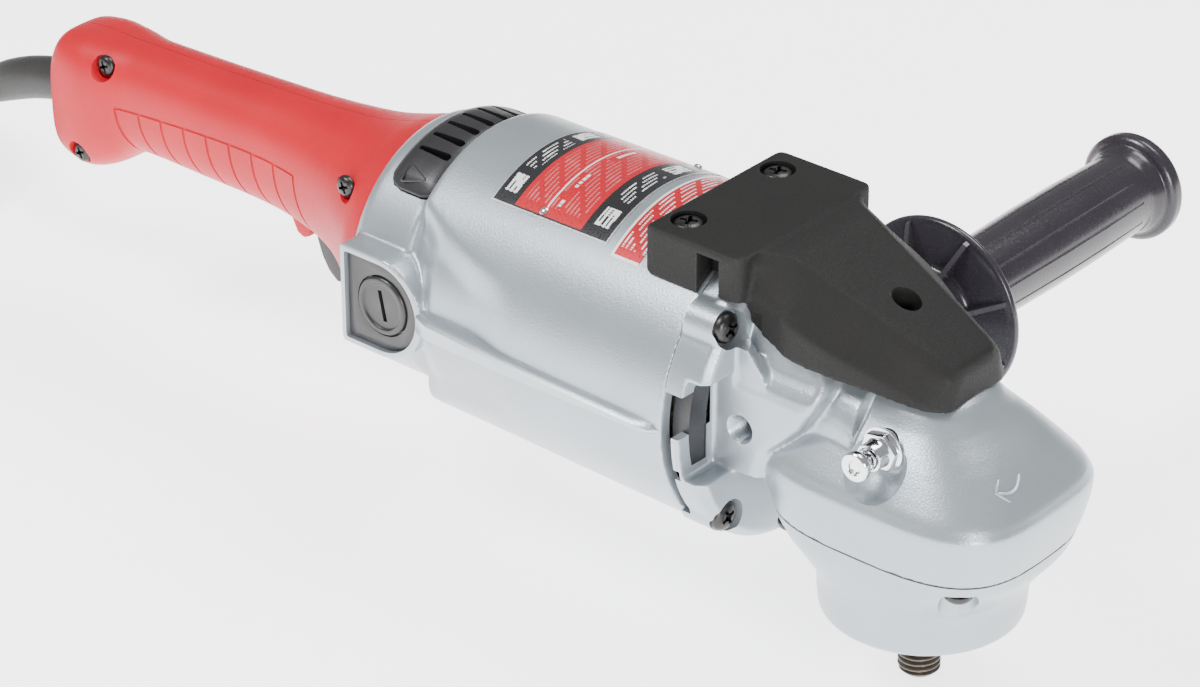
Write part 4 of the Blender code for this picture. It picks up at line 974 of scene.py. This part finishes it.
def gear_casting():
    parts = [head_solid(), neck_solid(), throat_solid()]
    parts += [gusset(side) for side in (-1, 1)]
    casting = fused("gear_casting", parts + [flange_with_lobes()], 0.8, 4)
    cuts = [block("joint_trim", (-110, -90, -10), (JOINT_X, 90, 170))]
    for y, z in case_screw_places():
        pocket = rounded([(0, -61.5), (6.9, -61.5), (7.4, -58), (8.4, -30), (0, -30)], 1.0)
        cuts.append(lathe("pocket", pocket, (0, y, z), "X", 48))
        cuts.append(rod("case_hole", 2.4, -80, -58, (0, y, z), "X", 24))
    chamber = [
        (0, 40), (37.5, 40), (37.5, 70), (33, 76), (24, 82), (14, 88), (14, 95.5), (11.3, 95.5),
        (11.3, 104.3), (0, 104.3),
    ]
    cuts.append(lathe("chamber", chamber))
    cuts.append(rod("pinion_tunnel", 13.5, -75, -14, (0, 0, MOTOR_Z), "X"))
    cuts.append(rod("bearing_seat", 20.3, -80, -60, (0, 0, MOTOR_Z), "X"))
    cuts.append(lathe("exhaust_space", [(25, -80), (54, -80), (54, -66), (25, -66)], (0, 0, MOTOR_Z), "X"))
    carve(casting, *cuts)
    for side in (-1, 1):
        out = out_from(side)
        carve(casting, exhaust_cut(side))
        carve(casting, lathe("side_handle_hole", threaded_hole(), (SIDE_AXIS.x, 0, SIDE_AXIS.z), out, 48))
    for node in ("front_left", "front_right", "rear_left", "rear_right"):
        centre = middle_of(f"retainer_screw_{node}")
        carve(casting, rod("tapped_hole", 2.4, 45, 66, (centre.x, centre.y, 0), "Z", 24))
    lock_at = (LOCK.x, 0, LOCK.z)
    bowl_profile = rounded([(0, 29.5), (9, 29.5), (12, 33), (14.5, 37.5), (16, 43), (17.5, 60), (0, 60)], 2)
    carve(casting, lathe("lock_bowl", bowl_profile, (LOCK.x + 1, 0, LOCK.z), "-Y"))
    carve(casting, rod("lock_seat", 6.3, 20, 40, lock_at, "-Y"))
    carve(casting, rod("lock_bore", 3.0, 8, 25, lock_at, "-Y", 32))
    finished(casting, "gear_case")
    return casting


SIDE_HOLE_R = 4.9


def threaded_hole():
    """The outline of the side handle's hole, with a groove for each turn of its thread."""
    face, pitch = BOSS_HALF_Y, 1.6
    profile = [(0, 24), (SIDE_HOLE_R, 24)]
    turns = 9
    for i in range(turns):
        crest = face - 1.2 - pitch * (turns - i)
        profile += [(SIDE_HOLE_R, crest), (SIDE_HOLE_R + 0.7, crest + pitch / 2)]
    profile += [(SIDE_HOLE_R, face - 1.2), (SIDE_HOLE_R + 1.2, face + 0.3), (SIDE_HOLE_R + 1.2, 60), (0, 60)]
    return profile


def exhaust_liner():
    """The black edge of the fan's shroud, which shows through the exhaust openings."""
    front = JOINT_X + 7.8
    rear = JOINT_X + GAP
    profile = [(52.4, rear), (53.6, rear), (53.6, front), (44, front), (44, front - 1), (52.4, front - 1)]
    finished(lathe("shroud_edge", profile, (0, 0, MOTOR_Z), "X"), slot="grille_plastic")


def flange_with_lobes():
    """The flange with an ear round each screw, thinner beside the side-handle bosses."""
    flange = flange_solid()
    for side in (-1, 1):
        near, far = span(side, BOSS_HALF_Y, 80)
        carve(flange, block("beside_boss", (-66, near, MOTOR_Z - 18.2), (-50, far, 103)))
    for y, z in case_screw_places():
        inward = -2 if z > MOTOR_Z else 2
        lobe = rod("lobe", 9.2, JOINT_X - 3, -58.5, (0, y - math.copysign(2, y), z + inward), "X", 40)
        carve(flange, lobe, operation="UNION")
    return flange


def exhaust_cut(side):
    """The exhaust opening between housing and flange, whose edge steps like a battlement."""
    outline = [
        (JOINT_X - 3, 43), (-69.6, 43), (-69.6, 62), (-66.8, 62), (-66.8, 66.5), (-69.2, 66.5), (-69.2, 80.5),
        (-64.6, 80.5), (-63.6, 97), (JOINT_X - 3, 97),
    ]
    near, far = span(side, 42, 70)
    return prism("exhaust", outline, near, far, "XZ")


COVER_SECTIONS = (  # height, half length, half width, roundness
    (11.0, 35.5, 35.5, 2.0),
    (12.5, 37.6, 37.6, 2.0),
    (16.0, 38.2, 38.0, 2.0),
    (21.0, 38.6, 38.2, 2.0),
    (25.0, 38.8, 38.3, 2.0),
    (30.0, 40.4, 38.8, 2.1),
    (37.0, 45.0, 40.4, 2.5),
    (44.0, 50.0, 42.0, 2.9),
    (HEAD_SEAM_Z + 3, 52.6, 43.0, 3.2),
)


def bearing_cover():
    """The lower casting, with a scooped pocket for each screw."""
    rings = []
    for z, half_x, half_y, power in curve_through(COVER_SECTIONS, 4):
        rings.append([(x, y, z) for x, y in superellipse(half_x, half_y, power)])
    cover = fused("bearing_cover", [loft("cover", rings)], 0.9, 4)
    carve(cover, block("seam_trim", (-80, -80, HEAD_SEAM_Z), (80, 80, 70)))
    hollow = [(0, 5), (15.5, 5), (15.5, 13.7), (20.3, 13.7), (20.3, 29), (30, 34), (36, 52), (0, 52)]
    carve(cover, lathe("hollow", hollow))
    for tag in ("front_left", "front_right", "rear_left", "rear_right"):
        centre, seat = middle_of(f"retainer_screw_{tag}"), low_of(f"retainer_screw_{tag}").z + 3.6 + GAP
        for spread in (0.5, 5.5, 10.5):
            at = (centre.x + math.copysign(spread, centre.x), centre.y + math.copysign(spread, centre.y), 0)
            profile = rounded([(0, seat - 7), (7.2, seat - 7), (7.2, seat - 1), (6.4, seat), (0, seat)], 1.2)
            carve(cover, lathe("pocket", profile, at, "Z", 48))
        carve(cover, rod("screw_way", 6.9, 5, seat, (centre.x, centre.y, 0), "Z", 48))
        carve(cover, rod("hole", 2.4, 30, 60, (centre.x, centre.y, 0), "Z", 24))
    return finished(cover, "bearing_retainer")


def arrow_mark(casting):
    """A small raised turning arrow on the head, drawn on the casting's own surface."""
    tree = BVHTree.FromObject(casting, bpy.context.evaluated_depsgraph_get())
    down = Vector((0, 0, -1))

    def on_skin(x, y):
        point = tree.ray_cast(TO_FRAME @ Vector((x, y, 140)), down)[0]
        return point / MM - SEAT

    stroke = [on_skin(43.5 + 2.5 * math.sin(t / 11 * math.pi), -6.5 - 13 * t / 11) for t in range(12)]
    barb = [on_skin(*p) for p in ((41.2, -15.5), (42.2, -17.5), (43.5, -19.5), (45.8, -18.0), (47.6, -16.8))]
    for name, points in (("stroke", stroke), ("barb", barb)):
        radii = [0.35] + [0.6] * (len(points) - 2) + [0.35]
        mark = tube(f"arrow_{name}", points, radii, 8)
        finished(mark, slot="cast_housing")


# ---- Spindle and lock ----


THREAD_PITCH = 25.4 / 11
THREAD_CREST_R = 7.94
THREAD_ROOT_R = 6.6
SHAFT_PROFILE = (  # radius, height, from the thread's end upwards
    (THREAD_ROOT_R, -1.2), (THREAD_ROOT_R, 0), (14.2, 0), (15, 0.8), (15, 4.4), (14.4, 5), (13, 5.6),
    (13, 13.4), (10, 13.5), (10, 57.5), (9, 57.6), (9, 74), (8, 75), (8, 95), (5, 95.8), (5, 103.5),
)


def thread_radius(z, turn):
    """The thread's radius at a height and a share of a turn. Both of its ends run out to the root."""
    phase = (z / THREAD_PITCH - turn) % 1
    groove = max(0.0, 1 - abs(phase - 0.5) / 0.38)
    radius = THREAD_CREST_R - (THREAD_CREST_R - THREAD_ROOT_R) * groove
    tip_limit = THREAD_ROOT_R - 0.6 + (z - SPINDLE_TIP_Z)
    return min(radius, tip_limit, THREAD_ROOT_R + 0.1 + max(0.0, -1.9 - z) * 1.5)


def spindle_steel():
    """The spindle, its end cut with a real helical thread."""
    count = 72
    turns = [k / count for k in range(count)]
    round_about = [(math.cos(math.tau * turn), math.sin(math.tau * turn)) for turn in turns]
    rows = []
    z = SPINDLE_TIP_Z
    while z < -1.6:
        rows.append(([thread_radius(z, turn) for turn in turns], z))
        z += 0.16
    rows += [([r] * count, z) for r, z in SHAFT_PROFILE]
    rings = [[(r * c, r * s, z) for r, (c, s) in zip(radii, round_about)] for radii, z in rows]
    shaft = loft("spindle_shaft", rings)
    carve(shaft, rod("lock_hole", 2.9, -12, 12, (0, 0, LOCK.z), "Y", 24))
    finished(shaft, "spindle", body="spindle", crease=50)


def spindle_lock():
    at = (LOCK.x, 0, LOCK.z)
    collar_profile = [
        (2.8, 20.5), (6.0, 20.5), (6.0, 29.6), (8.3, 29.6), (8.6, 30.6), (6.4, 30.8), (5.4, 35.0),
        (5.2, 38.6), (4.2, 38.9), (4.2, 30), (2.8, 30),
    ]
    collar = lathe("lock_collar", rounded(collar_profile, 0.25, 2), at, "-Y", 64)
    hexagon = [(7.9 * math.cos(math.tau * i / 6), 7.9 * math.sin(math.tau * i / 6)) for i in range(6)]
    nut = soften(prism("nut", hexagon, 30.4, 33.6, "XY"), 0.35, 2)
    carve(nut, rod("nut_bore", 5.0, 30, 42))
    put(nut, at, "-Y", 0.2)
    carve(collar, nut, operation="UNION")
    finished(collar, "lock_bushing")
    top = -low_of("spindle_lock_pin").y
    tip = -high_of("spindle_lock_pin").y
    profile = [
        (0, tip), (1.8, tip), (2.4, tip + 1), (2.4, 40.6), (3.0, 41.4), (2.6, 42.6), (3.6, 43.2),
        (5.3, 43.9), (5.7, 44.6), (5.7, top - 0.7), (5.1, top), (2.9, top), (2.5, top - 0.5),
        (2.1, top - 1.4), (0, top - 1.5),
    ]
    pin = lathe("lock_button", rounded(profile, 0.3, 3), at, "-Y", 64)
    finished(pin, "spindle_lock_pin", body="lock_pin")
    lock_spring()


LOCK_TURNS = 5


def lock_spring():
    """The coil under the button, wound along the length of the packed spring."""
    low, high = -high_of("lock_spring").y + 0.5, -low_of("lock_spring").y - 0.5
    steps = 24 * LOCK_TURNS
    points = []
    for i in range(steps + 1):
        angle = math.tau * LOCK_TURNS * i / steps
        reach = low + (high - low) * i / steps
        points.append((LOCK.x + 3.3 * math.cos(angle), -reach, LOCK.z + 3.3 * math.sin(angle)))
    spring = tube("lock_coil_spring", points, 0.42, 8)
    finished(spring, "lock_spring")
    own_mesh(spring)


# ---- Rubber bumper ----


def bumper():
    top = high_of("rubber_bumper").z
    rings = []
    stations = (  # x, half width at the top, half width below, top, bottom
        (-62.0, 34.5, 35.0, top - 0.3, 126.0),
        (-57.0, 32.0, 33.6, top - 0.4, 121.0),
        (-50.0, 28.0, 33.6, top - 0.7, 117.5),
        (-44.0, 26.0, 34.6, top - 1.8, 116.0),
        (-36.0, 24.5, 36.6, top - 4.9, 114.0),
        (-22.0, 22.5, 34.5, top - 10.8, 112.0),
        (-6.0, 20.0, 29.0, top - 17.5, 109.0),
        (8.0, 17.5, 24.0, top - 23.3, 106.0),
        (15.0, 16.0, 21.0, top - 26.1, 105.0),
        (18.5, 14.5, 18.0, top - 28.0, 104.5),
        (20.0, 12.0, 15.0, top - 31.5, 104.5),
    )
    for x, top_half, low_half, high, low in curve_through(stations, 4):
        section = [(-low_half, low), (-low_half, high - 14), (-top_half, high - 3), (-top_half + 4, high)]
        section += [(-y, z) for y, z in reversed(section)]
        rings.append([(x, y, z) for y, z in section])
    nose = loft("nose", rings)
    side_view = [(-101, 128), (-60, 127.5), (-56, 131), (-56, top), (-99, top), (-101, top - 2)]
    pad = prism("pad", side_view, -39, 39, "XZ")
    plan = rounded([(-101, -39), (-56, -39), (-56, 39), (-101, 39)], 6, 6, closed=True)
    carve(pad, prism("pad_plan", plan, 100, 170, "XY"), operation="INTERSECT")
    rubber = fused("bumper", [nose, pad], 0.85, 8)
    cuts = []
    for side in (-1, 1):
        near, far = span(side, 30, 46)
        cuts.append(block("notch", (-75.5, near, 120), (-65.5, far, 144.5)))
    cuts += [
        rod("housing_clearance", HOUSING_R + 0.8, -120, -70, (0, 0, MOTOR_Z), "X", 128),
        flange_solid(0.6), neck_solid(0.6), throat_solid(0.6), head_solid(0.5),
    ]
    for tag in ("left", "right"):
        centre = middle_of(f"bumper_screw_{tag}")
        seat = high_of(f"bumper_screw_{tag}").z - 3.1
        cuts.append(rod("counterbore", 6.7, seat, 160, (centre.x, centre.y, 0), "Z", 48))
        cuts.append(rod("screw_hole", 2.4, 120, 160, (centre.x, centre.y, 0), "Z", 24))
        case = middle_of(f"case_screw_{tag}_upper")
        cuts.append(rod("screw_clearance", 9.6, -66, -50, (0, case.y, case.z), "X", 48))
    cuts.append(rod("nose_recess", 5.5, 124.5, 145, (-12, 0, 0), "Z", 48))
    for cutter in cuts:
        carve(rubber, cutter)
    finished(rubber, "rubber_bumper")


# ---- Rear handle ----

HANDLE_SECTIONS = (  # x, bottom, top, half width, roundness
    (HANDLE_REAR_X, 64.5, 103.0, 13.5, 3.0),
    (-432.5, 59.5, 108.5, 17.5, 3.2),
    (-429.0, 56.5, 112.0, 20.0, 3.4),
    (-418.0, 54.5, 113.8, 21.5, 3.4),
    (-410.0, 56.0, 114.0, 21.3, 3.2),
    (-402.0, 60.0, 114.0, 20.3, 3.0),
    (-393.0, 66.0, 114.2, 18.6, 2.6),
    (-384.0, 68.5, 114.5, 18.2, 2.5),
    (-350.0, 68.8, 115.7, 18.8, 2.5),
    (-320.0, 69.0, 117.0, 19.6, 2.5),
    (-300.0, 67.5, 118.0, 21.5, 2.4),
    (-280.0, 63.5, 119.5, 25.5, 2.3),
    (-265.0, 57.0, 121.3, 31.0, 2.2),
    (-252.0, 47.0, 124.5, 38.5, 2.1),
    (-243.0, 36.5, 127.5, 45.5, 2.0),
    (HANDLE_FRONT_X, 32.5, 129.5, 48.5, 2.0),
)
HANDLE_WALL = 3.0
SEAM_GAP = 0.15


def handle_rings(inset=0.0, rows=HANDLE_SECTIONS):
    rings = []
    for x, low, high, half, power in rows:
        middle = (low + high) / 2
        outline = superellipse(half - inset, (high - low) / 2 - inset, power, 96)
        rings.append([(x, y, middle + z) for y, z in outline])
    return rings


def grip_grooves(shell):
    """Thin grooves cut along the skin: curved uprights on the grip and a line over their tops."""
    tree = BVHTree.FromObject(shell, bpy.context.evaluated_depsgraph_get())

    def on_skin(x, z, side):
        return tree.ray_cast(Vector((x, side * 60, z)), Vector((0, -side, 0)))[0]

    for side in (-1, 1):
        uprights = 9
        tops = []
        for i in range(uprights):
            share = i / (uprights - 1)
            x = -394 + 104 * share
            top_z = 91 + 6 * math.sin(share * math.pi * 0.55)
            line = []
            for k in range(15):
                drop_share = k / 14
                z = top_z + (70.6 - top_z) * drop_share
                line.append(on_skin(x + 7 * drop_share**1.6, z, side))
            line = [p for p in line if p is not None]
            carve(shell, tube("upright", line, 0.75, 8))
            tops.append((x, top_z))
        over = []
        for x, z in curve_through(tops, 5):
            over.append(on_skin(x, z, side))
        carve(shell, tube("over", over, 0.6, 8))


def rear_handle():
    parts = [loft("handle", handle_rings(0, curve_through(HANDLE_SECTIONS, 3)))]
    lug_side = [
        (-309, 72), (-307.5, 65), (-305, 60.5), (-301.5, 59), (-298.5, 60.5), (-297.5, 64), (-297.5, 72),
    ]
    parts.append(prism("lug", lug_side, -7, 7, "XZ"))
    handle = fused("handle", parts, 0.85, 5)
    grip_grooves(handle)
    hollow = handle_rings(HANDLE_WALL, HANDLE_SECTIONS[2:])
    hollow.append([(x + 5, y, z) for x, y, z in hollow[-1]])
    carve(handle, loft("hollow", hollow))
    carve(handle, rod("cord_hole", 10.1, -450, -428.5, (0, 0, 82.9), "X", 48))
    carve(handle, block("trigger_slot", (-297.2, -9, 40), (-258.5, 9, 79)))
    carve(handle, block("heel_notch", (-440, -30, 50), (-429.5, -14, 61)))
    for tag in ("rear", "front", "heel"):
        node = f"handle_screw_{tag}"
        low, centre = low_of(node), middle_of(node)
        seat = -low.y - 2.4
        profile = rounded([(0, seat), (5.2, seat), (5.6, seat + 4), (7.5, seat + 8), (7.5, 70), (0, 70)], 0.8)
        at = (centre.x, 0, centre.z)
        carve(handle, lathe("well", profile, at, "-Y", 48))
        wall = [(2.4, -seat + 0.5), (6.4, -seat + 0.5), (6.4, seat), (2.4, seat)]
        boss = lathe("boss", wall, at, "-Y", 32)
        carve(boss, loft("limit", handle_rings(0.4)), operation="INTERSECT")
        carve(handle, boss, operation="UNION")
    for side, tag in ((-1, "right"), (1, "left")):
        half = bpy.data.objects.new(f"handle_shell_{tag}", handle.data.copy())
        bpy.context.scene.collection.objects.link(half)
        near, far = span(side, SEAM_GAP, -90)
        carve(half, block("other_side", (-470, near, 0), (-200, far, 170)))
        finished(half, f"handle_half_{tag}")
    drop(handle)


def trigger_paddle():
    outline = [
        (-294.5, 68), (-293.5, 62), (-291, 55), (-287.5, 49.5), (-283, 46), (-281, 46.5), (-279.5, 50),
        (-277, 54.5), (-273, 59.5), (-268, 62.5), (-262, 64), (-261, 69), (-261, 76), (-264, 80), (-270, 80),
        (-276, 75), (-284, 72.5), (-291, 72.5), (-294, 71),
    ]
    lever = prism("trigger_paddle", rounded(outline, 1.6, 3, closed=True), -8, 8, "XZ")
    soften(lever, 1.4, 4)
    pivot = Vector(JOINTS["trigger_pull"]["pos_m"]) / MM - SEAT
    carve(lever, rod("bore", 2.3, -12, 12, pivot, "Y", 32), solver="EXACT")
    finished(lever, "trigger", body="trigger")


# ---- Side handle ----


def side_handle():
    at = (SIDE_AXIS.x, 0, SIDE_AXIS.z)
    end = high_of("side_handle_grip").y
    base = BOSS_HALF_Y + GAP
    profile = [
        (5.0, base), (10.5, base), (11.5, 61), (16.0, 67.5), (19.0, 73.5), (34.0, 76.3), (36.5, 77.5),
        (36.5, 79.7), (34.5, 80.5), (20.0, 81.9), (17.2, 85.5), (16.4, 94), (16.9, 116), (17.3, 140),
        (17.2, 165), (16.6, 188), (16.4, 198), (18.2, 201.5), (18.6, 203.0), (20.6, 203.6), (22.0, 205),
        (22.0, end - 2),
        (20.8, end - 0.4), (18.5, end), (15.5, end - 0.8), (5.0, end - 1.2),
    ]
    grip = lathe("side_grip", rounded(profile, 1.6, 4), (0, 0, 0), "Z", 160)
    for i in range(8):
        web = prism("web", [(12, 61.5), (15, 62.5), (34.5, 75.0), (35.2, 77.5), (12, 75)], -0.9, 0.9, "XZ")
        carve(grip, put(web, turn=math.tau * (i + 0.5) / 8), operation="UNION")
    for i in range(12):
        angle = math.tau * (i + 0.5) / 12
        path = []
        for k in range(24):
            h = 98 + 93 * k / 23
            r = 16.55 + 0.75 * math.sin(math.pi * (h - 98) / 100)
            path.append(((r + 0.35) * math.cos(angle), (r + 0.35) * math.sin(angle), h))
        carve(grip, tube("groove", path, 0.75, 8))
    put(grip, at, "Y")
    finished(grip, "side_handle_grip")


# ---- Strain relief ----

SLEEVE_ROUTE = (  # point in millimetres, radius
    (-424.0, 0, 83.6, 9.0),
    (-430.0, 0, 83.4, 9.0),
    (-440.0, 0, 82.3, 9.0),
    (-451.0, 0, 79.9, 9.0),
    (-463.0, 0, 76.4, 9.0),
    (-475.0, 0, 71.6, 8.8),
    (-485.0, 0, 66.6, 8.0),
    (-495.0, 0, 60.8, 6.6),
)


def strain_relief():
    rows = curve_through(SLEEVE_ROUTE, 6)
    sleeve = tube("cord_sleeve", [row[:3] for row in rows], [float(row[3]) for row in rows], 48)
    collar = lathe("collar", [(0, 0), (11.5, 0), (11.5, 3), (0, 3)], (-428, 0, 83.8), "X", 48)
    carve(sleeve, collar, operation="UNION")
    finished(sleeve, "strain_relief")


# ---- What stays as packed ----


INNER_SOLIDS = (
    "armature", "stator_core", "commutator", "field_coil_left", "field_coil_right", "brush_holder_left",
    "brush_holder_right", "carbon_brush_left", "carbon_brush_right", "cooling_fan", "fan_baffle", "ring_gear",
    "pinion", "cord_clamp", "switch_body", "motor_bearing_front", "motor_bearing_rear",
    "spindle_bearing_lower", "spindle_bearing_upper", "trigger_pin", "side_handle_stud",
)


def dress_inner_solids():
    """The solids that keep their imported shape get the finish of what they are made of."""
    for name in INNER_SOLIDS:
        node = frame["nodes"][name]
        node.data.materials.clear()
        node.data.materials.append(MATERIALS[SLOTS[name]])


def build():
    camera()
    make_materials()
    cord(plug_piece())
    stage()
    housing_casting()
    vent_louvres()
    brush_covers()
    wrapped_label("maker_plate", "nameplate", paint_nameplate)
    wrapped_label("caution_plate", "warning_label", paint_warning)
    drive_pins()
    arrow_mark(gear_casting())
    exhaust_liner()
    bearing_cover()
    spindle_steel()
    spindle_lock()
    bumper()
    rear_handle()
    trigger_paddle()
    side_handle()
    strain_relief()
    for node in frame["nodes"]:
        if "_screw_" in node:
            pan_screw(node)
    dress_inner_solids()


build()
